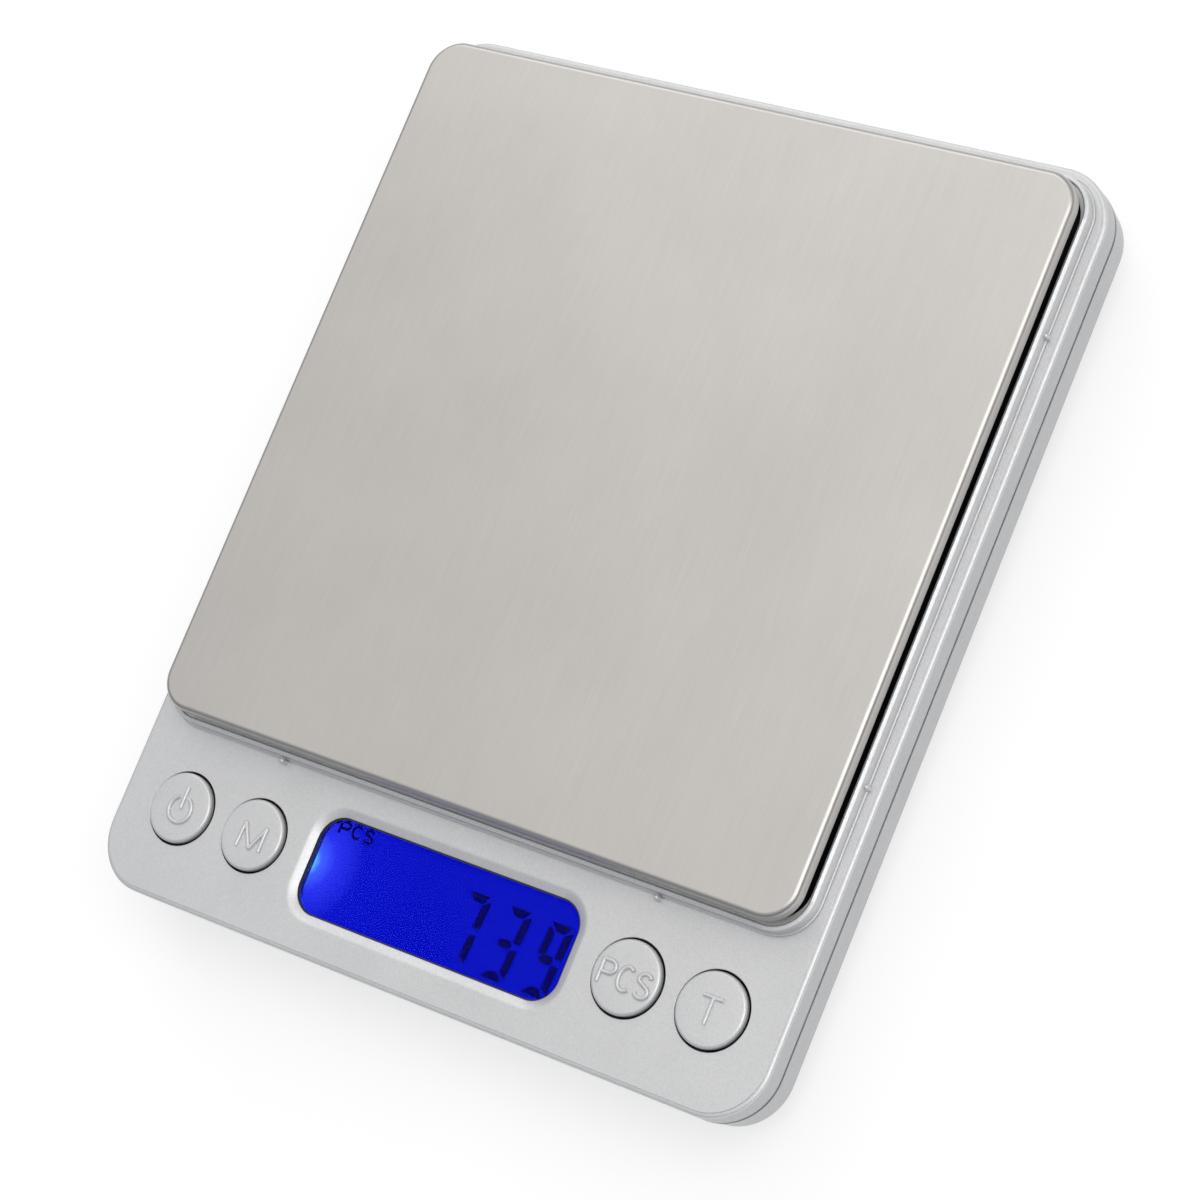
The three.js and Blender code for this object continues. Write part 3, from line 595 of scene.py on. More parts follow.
def display_face():
    """A blue ground lit from behind, brightest by the lamp at its left end."""
    f = Finish("display_face", (0.001, 0.002, 0.03), 0.35)
    f.set("Specular IOR Level", 0.0)
    lamp_x, lamp_y, reach = -22.5, -51.2, 48
    axes = f.axes()
    across = f.math("MULTIPLY", f.math("SUBTRACT", axes["X"], lamp_x * MM), 1 / MM)
    along = f.math("MULTIPLY", f.math("SUBTRACT", axes["Y"], lamp_y * MM), 1 / MM)
    away = f.math("SQRT", f.math("ADD", f.math("POWER", across, 2), f.math("POWER", along, 2)))
    grain = f.range(f.noise(0.5, 3), -0.15, 0.15)
    ground = f.steps(f.math("DIVIDE", f.math("ADD", away, grain), reach), [
        (0.0, (0.45, 0.98, 1.0)),
        (0.022, (0.12, 0.60, 1.0)),
        (0.045, (0.05, 0.12, 1.0)),
        (0.09, (0.020, 0.030, 0.86)),
        (0.18, (0.001, 0.004, 0.58)),
        (0.40, (0.0, 0.002, 0.51)),
        (1.0, (0.0, 0.002, 0.50)),
    ])
    f.links.new(ground, f.shader.inputs["Emission Color"])
    f.set("Emission Strength", 1.0)
    return f.material


def segment_ink():
    """The dark of a lit segment, with a little of the blue ground showing through."""
    f = Finish("segment_ink", (0.001, 0.001, 0.01), 0.4)
    f.shade(f.range(f.noise(0.6, 2), 0.8, 1.3))
    f.set("Specular IOR Level", 0.0)
    f.glow((0.0, 0.0, 0.09), 1.0)
    return f.material


def circuit_board():
    """Green solder mask with copper tracks showing through, on a glass weave."""
    f = Finish("board_green", (0.02, 0.13, 0.055), 0.35)
    tracks = f.texture("Brick", 4)
    tracks.inputs["Color1"].default_value = (1, 1, 1, 1)
    tracks.inputs["Color2"].default_value = (0.82, 0.82, 0.82, 1)
    tracks.inputs["Mortar"].default_value = (1.9, 1.7, 1.4, 1)
    tracks.inputs["Mortar Size"].default_value = 0.05
    f.shade(tracks.outputs["Color"])
    f.bump(tracks.outputs["Fac"], 0.03)
    return f.material


def cell_jacket():
    """A plain shrink jacket, green with a gold band at the positive end, over a steel can."""
    f = Finish("cell_jacket", (0.05, 0.22, 0.11), 0.3, 0.35)
    tail, tip = -24.5, 26.0
    axes = f.axes()
    rear = f.math("GREATER_THAN", axes["Y"], POCKET_Y * MM)
    way = f.math("SUBTRACT", 1.0, f.math("MULTIPLY", rear, 2.0))
    along = f.math("MULTIPLY", axes["X"], way)
    place = f.range(along, 0, 1, tail * MM, tip * MM)
    colour = f.steps(place, [
        (0.0, (0.55, 0.54, 0.52)),
        (0.10, (0.05, 0.22, 0.11)),
        (0.72, (0.62, 0.42, 0.12)),
        (0.93, (0.62, 0.61, 0.58)),
    ], "CONSTANT")
    f.shade(f.range(f.noise(2, 3), 0.94, 1.05), colour)
    f.roughen(f.range(f.noise(4, 3), 0.22, 0.36))
    return f.material


def epoxy():
    """A glossy black blob of potting."""
    f = Finish("epoxy", (0.006, 0.006, 0.008), 0.25)
    f.roughen(f.range(f.noise(1.5, 4), 0.15, 0.4))
    f.bump(f.noise(2.2, 2), 0.08)
    return f.material


def foam():
    """Open foam tape."""
    f = Finish("foam_tape", (0.82, 0.81, 0.78), 0.9)
    f.shade(f.range(f.cells(0.35), 0.88, 1.03, 0, 1))
    f.bump(f.cells(0.3), 0.05)
    return f.material


def lamp_body():
    """The small lamp that lights the display from its left end."""
    f = Finish("lamp_body", (0.85, 0.82, 0.60), 0.3)
    f.shade(f.range(f.noise(0.8, 2), 0.9, 1.05))
    f.glow((0.55, 0.8, 1.0), 2.0)
    return f.material


def floor_finish():
    """A pale floor with a glow of its own, which keeps it nearly white."""
    f = Finish("pale_floor", (0.42, 0.42, 0.42), 0.75)
    f.set("Specular IOR Level", 0.15)
    f.glow((1, 1, 1), 0.58)
    f.shade(f.range(f.noise(40, 3), 0.985, 1.01))
    return f.material


PAINT = silver_paint()
STEEL = brushed_steel()
ALUMINIUM = machined_metal("aluminium", (0.72, 0.73, 0.74), 0.36, (0.03, 1, 1))
BRIGHT_SCREW = machined_metal("bright_screw", (0.62, 0.63, 0.64), 0.28, (1, 1, 1))
DARK_SCREW = machined_metal("dark_screw", (0.10, 0.105, 0.11), 0.32, (1, 1, 1))
NICKEL = machined_metal("nickel", (0.68, 0.66, 0.62), 0.22, (1, 1, 0.05))
GREY_ABS = plastic("grey_abs", (0.46, 0.47, 0.48), 0.55)
BLACK_ABS = plastic("black_abs", (0.016, 0.016, 0.018), 0.45)
GUIDE = plastic("light_guide", (0.80, 0.84, 0.90), 0.3, 0.002)
SILICONE = rubber("silicone", (0.80, 0.79, 0.75))
RUBBER = rubber("foot_rubber", (0.25, 0.255, 0.26))
ACRYLIC = clear_acrylic()
DISPLAY = display_face()
INK = segment_ink()
BOARD = circuit_board()
JACKET = cell_jacket()
EPOXY = epoxy()
FOAM = foam()
LAMP = lamp_body()
LEAD_COLOURS = {
    "red": (0.42, 0.012, 0.012),
    "black": (0.012, 0.012, 0.013),
    "green": (0.015, 0.19, 0.04),
    "white": (0.78, 0.78, 0.75),
}
INSULATION = {
    name: plastic(f"lead_{name}", colour, 0.4, 0.003) for name, colour in LEAD_COLOURS.items()}

# ---- Upper shell


def shell_blank():
    """Wall, rounded rim and panel, with a fine step down from the panel to the rim."""
    low = PARTING["z"] + PARTING["gap"] / 2
    rim_z = PANEL_Z - RIM["step"]
    width = RIM["width"]
    profile = [(0.04, low), (0, low + 0.04)]
    profile += quarter_turn((0, rim_z - RIM["height"]), (RIM["round"], rim_z), 10)
    profile += [(width - 0.02, rim_z), (width, rim_z + 0.02)]
    profile += quarter_turn((width, PANEL_Z - 0.05), (width + 0.05, PANEL_Z), 3)
    return swept("case_top", CASE, profile)


def lip():
    """The raised lip round the well: a crest that falls outward, on a wall with a concave foot."""
    crest, foot = LIP["crest"], LIP_FOOT["width"]
    shoulder, ridge = crest - LIP["fall"], foot + LIP["width"] - LIP["round"]
    profile = [(0, PANEL_Z - 1), (0, LIP_FOOT["z"] - 0.04)]
    profile += quarter_turn((0.04, LIP_FOOT["z"]), (foot, LIP_FOOT["z"] + foot), 6, True)
    profile += quarter_turn((foot, shoulder - 0.1), (foot + 0.09, shoulder), 5)
    profile.append((ridge, crest))
    return swept("lip", grown(WELL, LIP["width"] + foot), profile, PAN_Y)


def lip_groove():
    """The fine groove in the panel at the outer foot of the lip."""
    low = PANEL_Z - GROOVE["depth"]
    outside = grown(WELL, LIP["width"] + LIP_FOOT["width"] + GROOVE["width"])
    return swept("groove", outside, [(0.04, low), (0, low + 0.04), (-0.03, PANEL_Z + 1)], PAN_Y)


def catches():
    """Two small round catches on the left, right and front of the lip, against its outer wall."""
    made = []
    radius, top = CATCH["radius"], CATCH["top"]
    dome = quarter_turn((radius, top - radius), (0.02, top), 6)
    for turn in (0, 180, 270):
        for side in (-1, 1):
            knob = turned("catch", [(radius, PANEL_Z - 0.5), *dome], sides=24)
            moved(knob, Matrix.Translation((CATCH["out"], side * CATCH["along"], 0)))
            moved(knob, Matrix.Rotation(math.radians(turn), 4, "Z"))
            made.append(moved(knob, Matrix.Translation((0, PAN_Y, 0))))
    return made


def panel_openings():
    """The key holes and the bevelled window, with their edges rounded."""
    tools = []
    edge = 0.12
    for name, x in KEYS.items():
        profile = [(KEY_HOLE, PANEL_UNDER - 1)]
        for across, z in quarter_turn((0, PANEL_Z - edge), (edge, PANEL_Z), 5):
            profile.append((KEY_HOLE + across, z))
        profile.append((KEY_HOLE + edge, PANEL_Z + 1))
        tools.append(turned(f"{name}_hole", profile, x, KEY_Y))
    width, low = BEVEL["width"], BEVEL["low"]
    profile = [(0, PANEL_UNDER - 1), (0, low - 0.1), (-0.1, low)]
    profile += [(-width + 0.18, PANEL_Z - 0.10), (-width, PANEL_Z - 0.03)]
    profile += [(-width - 0.25, PANEL_Z), (-width - 0.25, PANEL_Z + 1)]
    tools.append(swept("window", WINDOW, profile, WINDOW_Y))
    return tools


def well_cuts():
    """The well: a mouth with a rounded edge down to a ledge, and a smaller room below."""
    crest, edge = LIP["crest"], LIP["round"]
    ledge = WELL_LEDGE["z"]
    mouth = [(0, ledge), *quarter_turn((0, crest - edge), (-edge, crest), 8), (-edge, crest + 1)]
    deep_well = grown(WELL, -WELL_LEDGE["side"])
    deep_well["half_y"] = WELL["half_y"] - WELL_LEDGE["front"]
    return [
        swept("well", WELL, mouth, PAN_Y),
        swept("deep_well", deep_well, [(0, WELL_FLOOR), (0, ledge + 0.1)], PAN_Y),
    ]


def inner_rooms():
    """The room under the well's floor, and the higher one under the panel in front of it."""
    low = PARTING["z"] - 1
    inside = grown(CASE, -WALL)
    well_front = PAN_Y - WELL["half_y"] - 1.5
    panel_room = swept("panel_room", inside, [(0, low), (0, PANEL_UNDER)])
    behind = block("behind", (-60, 60), (well_front, 70), (0, 20))
    return [
        swept("cavity", inside, [(0, low), (0, WELL_UNDER)]),
        cut(panel_room, behind),
    ]


def with_hump(shell):
    """The shell with a hump in the well's floor over the battery room."""
    x = POCKET["half_x"] + POCKET["wall"] + HUMP["play"]
    y = POCKET["half_y"] + POCKET["wall"] + HUMP["play"]
    top, edge = HUMP["top"], HUMP["edge"]
    outside = {"half_x": x + HUMP["wall"], "half_y": y + HUMP["wall"], "corner": 1.5}
    side = [(0, WELL_UNDER + 0.1), (0, top - edge), (edge, top)]
    hump = swept("hump", outside, side, POCKET_Y)
    under = slab("under", 0, POCKET_Y, x, y, (10, top - HUMP["wall"]))
    return cut(join(shell, hump), under)


def with_stops_and_bosses(shell):
    """The shell with four stops under the pan's carrier and four bosses for the case screws."""
    radius, top = STOP["radius"], STOP["top"]
    wide, pilot_wide = CASE_BOSS["radius"], CASE_BOSS["pilot"]
    for sx, sy in CORNERS.values():
        side = [(radius, WELL_FLOOR - 0.5), (radius, top - 0.3), (radius - 0.3, top)]
        x, y = sx * STOP["out"], PAN_Y + sy * STOP["out"]
        shell = join(shell, turned("stop", side, x, y, SMALL_ROUND))
        x, y = sx * CASE_SCREW["x"], sy * CASE_SCREW["y"]
        side = [(wide, CASE_BOSS["low"]), (wide, WELL_UNDER + 0.5)]
        boss = turned("boss", side, x, y, SMALL_ROUND)
        side = [(pilot_wide, CASE_BOSS["low"] - 1.3), (pilot_wide, WELL_UNDER - 0.6)]
        pilot = turned("pilot", side, x, y, SMALL_ROUND)
        shell = cut(join(shell, boss), pilot)
    return shell


def case_top():
    shell = cut(shell_blank(), lip_groove())
    shell = join(shell, lip(), *catches())
    shell = cut(shell, *well_cuts(), *inner_rooms(), *panel_openings())
    shell = with_stops_and_bosses(with_hump(shell))
    hole = swept("post_hole", POST_HOLE, [(0, 10), (0, 14)], PAN_Y)
    return cut(shell, moved(hole, Matrix.Translation((FREE_END_X, 0, 0))))


settle(case_top(), PAINT, "case", ["upper_shell"], 35)

# ---- Lower shell


def lower_blank():
    """Underside, a rounded slope up to the shoulder, then a wall that leans out."""
    inset, slope = SHOULDER["inset"], SHOULDER["slope"]
    z = SHOULDER["z"]
    top = PARTING["z"] - PARTING["gap"] / 2
    return swept("case_bottom", CASE, [
        (slope + 0.9, BOTTOM_Z),
        (slope + 0.45, BOTTOM_Z + 0.07),
        (slope, BOTTOM_Z + 0.3),
        (inset + 0.45, z - 0.35),
        (inset + 0.18, z - 0.05),
        (inset + 0.04, z + 0.2),
        (inset, z + 0.45),
        (0.01, top - 0.04),
        (0.05, top),
    ])


def lower_hollow():
    """The room inside the lower shell, which follows the slope and the wall."""
    floor = BOTTOM_Z + WALL
    return swept("hollow", CASE, [
        (SHOULDER["slope"] + 1.3, floor),
        (SHOULDER["inset"] + WALL + 0.6, SHOULDER["z"] + 0.4),
        (WALL, PARTING["z"] + 0.5),
    ])


def tongue():
    """The thin inner edge that stands up into the upper shell."""
    low = PARTING["z"] - 2
    outer = swept("tongue", CASE, [(WALL - 0.3, low - 0.6), (1.9, low), (1.9, 11.1)])
    return cut(outer, swept("inner", CASE, [(2.8, low - 1), (2.8, 12)]))


def toe_slots():
    """Room for the door's two toes."""
    back = POCKET_Y + DOOR["half_y"] + DOOR_GAP
    half = TOE_SLOT["half"]
    ys, zs = (TOE_SLOT["front"], back + TOE_SLOT["reach"]), (TOE_SLOT["low"], TOE_SLOT["high"])
    return [block("slot", (x - half, x + half), ys, zs) for x in (-TOE["x"], TOE["x"])]


def with_battery_room(shell):
    """The shell with walls, a ledge and an opening for the cells and their door."""
    floor = BOTTOM_Z + WALL
    x, y = POCKET["half_x"], POCKET["half_y"]
    room = slab("room", 0, POCKET_Y, x, y, (0, POCKET["ceiling"]))
    x, y = x + POCKET["wall"], y + POCKET["wall"]
    walls = slab("walls", 0, POCKET_Y, x, y, (floor, POCKET["top"]))
    x, y = DOOR["half_x"] + 1.5, DOOR["half_y"] + 1.5
    ledge = slab("ledge", 0, POCKET_Y, x, y, (floor - 0.2, 4))
    shell = join(shell, walls, ledge)
    opening = swept("door_room", grown(DOOR, DOOR_GAP), [
        (-0.2, BOTTOM_Z - 1), (-0.2, BOTTOM_Z), (0, BOTTOM_Z + 0.2), (0, floor)], POCKET_Y)
    thumb_y = POCKET_Y - DOOR["half_y"] - DOOR_GAP + 3.4
    side = [(SCOOP, 0), (SCOOP - 0.1, BOTTOM_Z), (SCOOP - 0.5, 1.9)]
    thumb = turned("thumb", side, 0, thumb_y)
    return cut(shell, room, opening, *toe_slots(), thumb)


def countersink(x, y, radius, top):
    """A hole up into the underside, with its mouth a little wider."""
    side = [(radius + 0.2, 0), (radius + 0.2, BOTTOM_Z), (radius, BOTTOM_Z + 0.2), (radius, top)]
    return turned("sink", side, x, y, SMALL_ROUND)


def screw_tower(x, y):
    """A post for a case screw, trimmed to the outside of the shell."""
    side = [(4.3, BOTTOM_Z + WALL - 0.2), (4.3, 6)]
    outside = swept("outside", CASE, [
        (SHOULDER["slope"] + 0.9, BOTTOM_Z), (SHOULDER["inset"] + 0.9, 5.2), (1, 8)])
    return combine(turned("tower", side, x, y, SMALL_ROUND), "INTERSECT", outside)


def case_bottom():
    shell = join(cut(lower_blank(), lower_hollow()), tongue())
    shell = with_battery_room(shell)
    shell = join(shell, slab("boss", sum(CELL_SCREW_X) / 2, PAN_Y, **FIXED_BOSS))
    tools = []
    for x in CELL_SCREW_X:
        tools.append(countersink(x, PAN_Y, 2.9, 2.3))
        tools.append(turned("through", [(1.45, 2), (1.45, 4)], x, PAN_Y, SMALL_ROUND))
    for sx, sy in CORNERS.values():
        x, y = sx * CASE_SCREW["x"], sy * CASE_SCREW["y"]
        shell = join(shell, screw_tower(x, y))
        tools.append(countersink(x, y, CASE_SCREW["bore"], CASE_SCREW["bore_top"]))
        tools.append(turned("through", [(1.6, 4), (1.6, 7)], x, y, SMALL_ROUND))
        x, y = sx * FOOT["x"], sy * FOOT["y"]
        tools.append(countersink(x, y, FOOT["radius"] + 0.1, FOOT["top"]))
    return cut(shell, *tools)


settle(case_bottom(), PAINT, "case", ["lower_shell"], 35)

# ---- Battery door


def battery_lid():
    """A flush lid with two toes behind and a ribbed finger scoop in front."""
    rear = POCKET_Y + DOOR["half_y"]
    lid = swept("battery_lid", DOOR, [
        (0.3, BOTTOM_Z),
        (0.1, BOTTOM_Z + 0.1),
        (0, BOTTOM_Z + 0.3),
        (0, DOOR_TOP - 0.1),
        (0.1, DOOR_TOP),
    ], POCKET_Y, 8)
    for x in (-TOE["x"], TOE["x"]):
        xs = (x - TOE["half"], x + TOE["half"])
        toe_z = (DOOR_TOP + TOE["low"], DOOR_TOP + TOE["high"])
        riser = block("riser", xs, (rear - 2.4, rear - 1), (DOOR_TOP - 0.2, DOOR_TOP + 0.7))
        toe = block("toe", xs, (rear - 2.4, rear + TOE["reach"]), toe_z)
        lid = join(lid, riser, toe)
    scoop_y = POCKET_Y - DOOR["half_y"] + 3.0
    side = [(SCOOP, 0), (SCOOP - 0.1, BOTTOM_Z), (SCOOP - 0.6, BOTTOM_Z + 0.6)]
    lid = cut(lid, turned("scoop", side, 0, scoop_y))
    for i in range(4):
        y = scoop_y - 2.0 + 1.5 * i
        half = 4.6 - 0.35 * i
        bar = swept("bar", {"half_x": half, "half_y": 0.35, "corner": 0.34}, [
            (0.2, BOTTOM_Z + 0.12), (0, BOTTOM_Z + 0.3), (0, BOTTOM_Z + 0.8)], y, 6)
        lid = join(lid, bar)
    return lid


settle(battery_lid(), PAINT, "door", ["battery_door"], 35)

# ---- Pan


def pan_skin(name, inset):
    """One skin of the pan's sheet: the outer one, or the inner one with the sheet as inset."""
    radius = PAN_EDGE - inset
    low = PAN_TOP - PAN_SKIRT - (1 if inset else 0)
    top = PAN_TOP - inset
    profile = [(inset, low)]
    profile += quarter_turn((inset, top - radius), (inset + radius, top), 8)
    return swept(name, PAN, profile, PAN_Y)


pan = cut(pan_skin("pan_sheet", 0), pan_skin("inside", PAN_SHEET))
settle(pan, STEEL, "platform", ["weighing_pan"], 50)

# ---- Keys and their marks


def key_cap(name, x):
    """A round cap with a soft edge and a faintly domed top, on a flange that holds it in."""
    edge = 0.42
    low, high = KEY_FLANGE["low"], KEY_FLANGE["high"]
    profile = [(KEY_FLANGE["radius"], low), (KEY_FLANGE["radius"], high), (KEY_CAP, high)]
    for across, z in quarter_turn((0, KEY_TOP - edge), (edge, KEY_TOP - KEY_DOME), 8):
        profile.append((KEY_CAP - across, z))
    for share in (0.75, 0.5, 0.25):
        profile.append((KEY_CAP * share, KEY_TOP - KEY_DOME * share ** 2))
    return turned(f"{name}_cap", profile, x, KEY_Y, 128)


STROKE = 0.3
MARK_Z = KEY_TOP + 0.05
POWER_MARK = {"shift": 0.3, "y": -51.2, "radius": 1.82, "opening": 27, "bar": 3.0}
# Each letter, its bottom left corner, its width and its height.
KEY_LETTERS = {
    "mode": [("M", -31.8, -53.0, 3.75, 3.45)],
    "count": [
        ("P", 26.7, -52.6, 2.0, 3.0),
        ("C", 29.35, -52.7, 2.1, 3.1),
        ("S", 32.1, -52.8, 2.1, 3.1),
    ],
    "tare": [("T", 41.4, -52.85, 2.85, 3.4)],
}


def power_mark(name, x):
    """The open ring and bar that stand for on and off."""
    y, radius, opening = POWER_MARK["y"], POWER_MARK["radius"], POWER_MARK["opening"]
    around = arc(x, y, radius, radius, 90 + opening, 450 - opening, 48)
    ring = [(px, py, 0) for px, py in around]
    bar = [(x, y + 0.15 + POWER_MARK["bar"] * i / 6, 0) for i in range(7)]
    mark = join(tube(name, ring, STROKE), tube("bar", bar, STROKE))
    return moved(mark, Matrix.Translation((0, 0, MARK_Z)))


for key, key_x in KEYS.items():
    body = f"{key}_button"
    settle(key_cap(key, key_x), PAINT, body, [f"{key}_key"], 50)
    for letter, x, y, wide, tall in KEY_LETTERS.get(key, []):
        place = (x, y, MARK_Z)
        mark = stroke_letter(f"{key}_mark_{letter}", letter, place, (wide, tall), STROKE)
        settle(mark, PAINT, body, sharp=60)
power = power_mark("power_mark", KEYS["power"] + POWER_MARK["shift"])
settle(power, PAINT, "power_button")

# ---- Display

# Each digit and its lit bars, by the usual letters of a seven-bar digit.
DIGITS = [("7", "abc"), ("3", "abcdg"), ("9", "abcdfg")]
DIGIT = {"width": 3.7, "height": 9.7, "bar": 1.12, "slant": 0.058, "pitch": 6.48}
DIGIT_PLACE = (2.3, -57.15)
INK_THICK = 0.06
UNIT = {"x": -19.5, "y": -46.5, "z": GLASS_Z[1] + 0.04, "width": 1.5, "tall": 1.65, "pitch": 2.0}
UNIT_STROKE = {"radius": 0.19, "squash": 0.2}


def bar_corners(letter):
    """Corners of one bar of a digit, from the digit's bottom left, mitred where bars meet."""
    wide, tall, bar = DIGIT["width"], DIGIT["height"], DIGIT["bar"]
    half = tall / 2
    if letter in "ad":
        corners = [(wide - 0.42, tall), (0.1, tall)]
        corners += [(bar + 0.05, tall - bar), (wide - bar - 0.12, tall - bar)]
    elif letter == "g":
        left, right = 0.4, wide - bar + 0.02
        corners = [(left, half), (left + 0.45, half - bar / 2), (right - 0.4, half - bar / 2)]
        corners += [(right, half), (right - 0.4, half + bar / 2), (left + 0.45, half + bar / 2)]
    else:
        corners = [(wide, half + 0.42), (wide, tall - 0.6), (wide - bar, tall - bar - 0.22)]
        corners.append((wide - bar, half + 0.52))
    if letter in "cd":
        corners = [(x, tall - y) for x, y in reversed(corners)]
    if letter == "f":
        corners = [(wide - x, y) for x, y in reversed(corners)]
    return corners


def digit(number, lit, index):
    """The bars of one digit, which leans to its right."""
    left = DIGIT_PLACE[0] + DIGIT["pitch"] * index
    low = GLASS_Z[1] + 0.01
    bars = []
    for letter in lit:
        flat = []
        for x, y in bar_corners(letter):
            flat.append((left + x + y * DIGIT["slant"], DIGIT_PLACE[1] + y))
        rings = [[(x, y, z) for x, y in flat] for z in (low, low + INK_THICK)]
        bars.append(loft(f"digit_{number}_{letter}", rings))
    return bars


def window_lens():
    """A clear pane that fills the window, on a flange that holds it in from below."""
    raised = grown(WINDOW, -LENS["fit"])
    flange = grown(WINDOW, LENS["flange"])
    flange["corner"] = 1
    profile = [(0, LENS["step"] - 0.2), (0, LENS["top"] - 0.12), (0.12, LENS["top"])]
    lens = swept("window_lens", raised, profile, WINDOW_Y)
    return join(lens, swept("flange", flange, [(0, LENS["low"]), (0, LENS["step"])], WINDOW_Y))


def display_panel():
    """The display glass, with its edges taken off."""
    low, high = GLASS_Z
    edge = 0.15
    profile = [(edge, low), (0, low + edge), (0, high - edge), (edge, high)]
    return swept("display_panel", GLASS, profile, WINDOW_Y)


def lens_shade_ring():
    """A black ring in the gap between the lens and its opening: a dark piece that paints the shade
    in that gap.
    """
    low, high = LENS["step"] + 0.02, LENS["top"] + 0.03
    ring = swept("lens_shade_ring", grown(WINDOW, -0.02), [(0, low), (0, high)], WINDOW_Y)
    pane = grown(WINDOW, 0.01 - LENS["fit"])
    return cut(ring, swept("room", pane, [(0, low - 1), (0, high + 1)], WINDOW_Y))


settle(window_lens(), ACRYLIC, "case", ["display_lens"])
# The black ring round the lens is painted shade in the gap.
settle(lens_shade_ring(), BLACK_ABS, "case")
settle(display_panel(), DISPLAY, "case", ["display_glass"])
for index, (number, lit) in enumerate(DIGITS):
    for bar in digit(number, lit, index):
        settle(bar, INK, "case")
for index, letter in enumerate("PCS"):
    place = (UNIT["x"] + UNIT["pitch"] * index, UNIT["y"], UNIT["z"])
    size = (UNIT["width"], UNIT["tall"])
    mark = stroke_letter(f"unit_mark_{letter}", letter, place, size, **UNIT_STROKE)
    settle(mark, INK, "case", sharp=60)

# ---- Feet and screws


def foot(where, sx, sy):
    """A round rubber pad with a shallow dish in its face."""
    radius = FOOT["radius"]
    profile = [(radius - 1.3, 0.12), (radius - 1.1, 0)]
    profile += [(radius - 0.45, 0), (radius - 0.15, 0.12), (radius, 0.45), (radius, FOOT["top"])]
    return turned(f"pad_{where}", profile, sx * FOOT["x"], sy * FOOT["y"])


def screw(name, x, y, low, head, head_height, shank, length):
    """A pan-head screw pointing up, with a cross recess."""
    profile = [(head * 0.55, low), (head * 0.80, low + head_height * 0.10)]
    profile += [(head * 0.95, low + head_height * 0.35), (head, low + head_height * 0.7)]
    profile += [(head, low + head_height), (shank, low + head_height)]
    pitch = shank * 0.55
    for i in range(int((length - shank) / pitch)):
        z = low + head_height + pitch * i
        profile += [(shank, z + pitch * 0.35), (shank * 0.80, z + pitch * 0.85)]
    profile.append((shank * 0.25, low + head_height + length))
    body = turned(name, profile, x, y, SMALL_ROUND)
    arm, slot = head * 0.55, head * 0.13
    depth = (low - 0.1, low + head_height * 0.6)
    along = slab("cross", x, y, arm, slot, depth)
    return cut(body, along, slab("cross", x, y, slot, arm, depth))


for corner_name, (side_x, side_y) in CORNERS.items():
    pad = foot(corner_name, side_x, side_y)
    settle(pad, RUBBER, "case", [f"foot_{corner_name}"])
    low = CASE_SCREW["bore_top"] - CASE_SCREW_SIZE["head_height"]
    x, y = side_x * CASE_SCREW["x"], side_y * CASE_SCREW["y"]
    made = screw(f"screw_{corner_name}", x, y, low, **CASE_SCREW_SIZE)
    settle(made, DARK_SCREW, "case", [f"case_screw_{corner_name}"])
for number, screw_x in enumerate(CELL_SCREW_X, 1):
    made = screw(f"bar_screw_{number}", screw_x, PAN_Y, BOTTOM_Z + 0.2, **CELL_SCREW_SIZE)
    settle(made, DARK_SCREW, "case", [f"load_cell_screw_{number}"])

# ---- Spacer on the free end of the load cell


def free_spacer():
    """A block under the carrier, short by the dip of the pan, since the bar stays still."""
    low, high = (corner[2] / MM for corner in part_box("free_end_spacer"))
    bore, zs = SPACER["bore"], (low + PAN_DIP + SPACER["play"], high)
    made = slab("free_spacer", FREE_END_X, PAN_Y, SPACER["half_x"], SPACER["half_y"], zs)
    for x in CELL_SCREW_X:
        hole = turned("bore", [(bore, low - 1), (bore, high + 1)], -x, PAN_Y, SMALL_ROUND)
        made = cut(made, hole)
    return made


settle(free_spacer(), ALUMINIUM, "platform", ["free_end_spacer"])

# ---- Battery cells and springs


def dry_cell(name, way, y):
    """A cell along X, its positive end towards way."""
    half = CELL["length"] / 2
    shoulder = half - CELL["nub_length"]
    radius = CELL["radius"]
    profile = [(radius - 1.0, -half), (radius - 0.55, -half + 0.05), (radius - 0.35, -half + 0.3)]
    profile += [(radius - 0.08, -half + 0.35), (radius, -half + 0.6)]
    profile += [(radius, shoulder - 0.5), (radius - 0.2, shoulder - 0.1)]
    profile += [(radius - 0.75, shoulder), (radius - 1.0, shoulder - 0.2)]
    profile += [(CELL["nub"] + 0.25, shoulder - 0.2), (CELL["nub"], shoulder)]
    profile += [(CELL["nub"], half - 0.2), (CELL["nub"] - 0.2, half)]
    cell = turned(name, profile)
    moved(cell, Matrix.Rotation(math.radians(90 * way), 4, "Y"))
    x = way * (POCKET["half_x"] - 0.5 - half)
    return moved(cell, Matrix.Translation((x, y, CELL["z"])))


def coil(name, way, y):
    """A conical spring that widens towards its plate."""
    reach, turns, tip, wire, steps = 3.9, 3.5, 1.8, 0.29, 140
    plate = POCKET["half_x"] - 0.95
    path = []
    for i in range(steps + 1):
        share = i / steps
        radius = tip + tip * share
        angle = share * turns * 2 * math.pi
        x = way * (plate - reach * (1 - share))
        path.append((x, y + radius * math.cos(angle) * way, CELL["z"] + radius * math.sin(angle)))
    return tube(name, path, wire, 12)


front_y = POCKET_Y - CELL["apart"] / 2
rear_y = POCKET_Y + CELL["apart"] / 2
settle(dry_cell("cell_front", 1, front_y), JACKET, "case", ["battery_front"])
settle(dry_cell("cell_rear", -1, rear_y), JACKET, "case", ["battery_rear"])
settle(coil("coil_bridge", -1, front_y), NICKEL, "case", ["spring_bridge"])
settle(coil("coil_negative", 1, rear_y), NICKEL, "case", ["spring_negative"])

# ---- CAD nodes that stay, with finished edges and materials

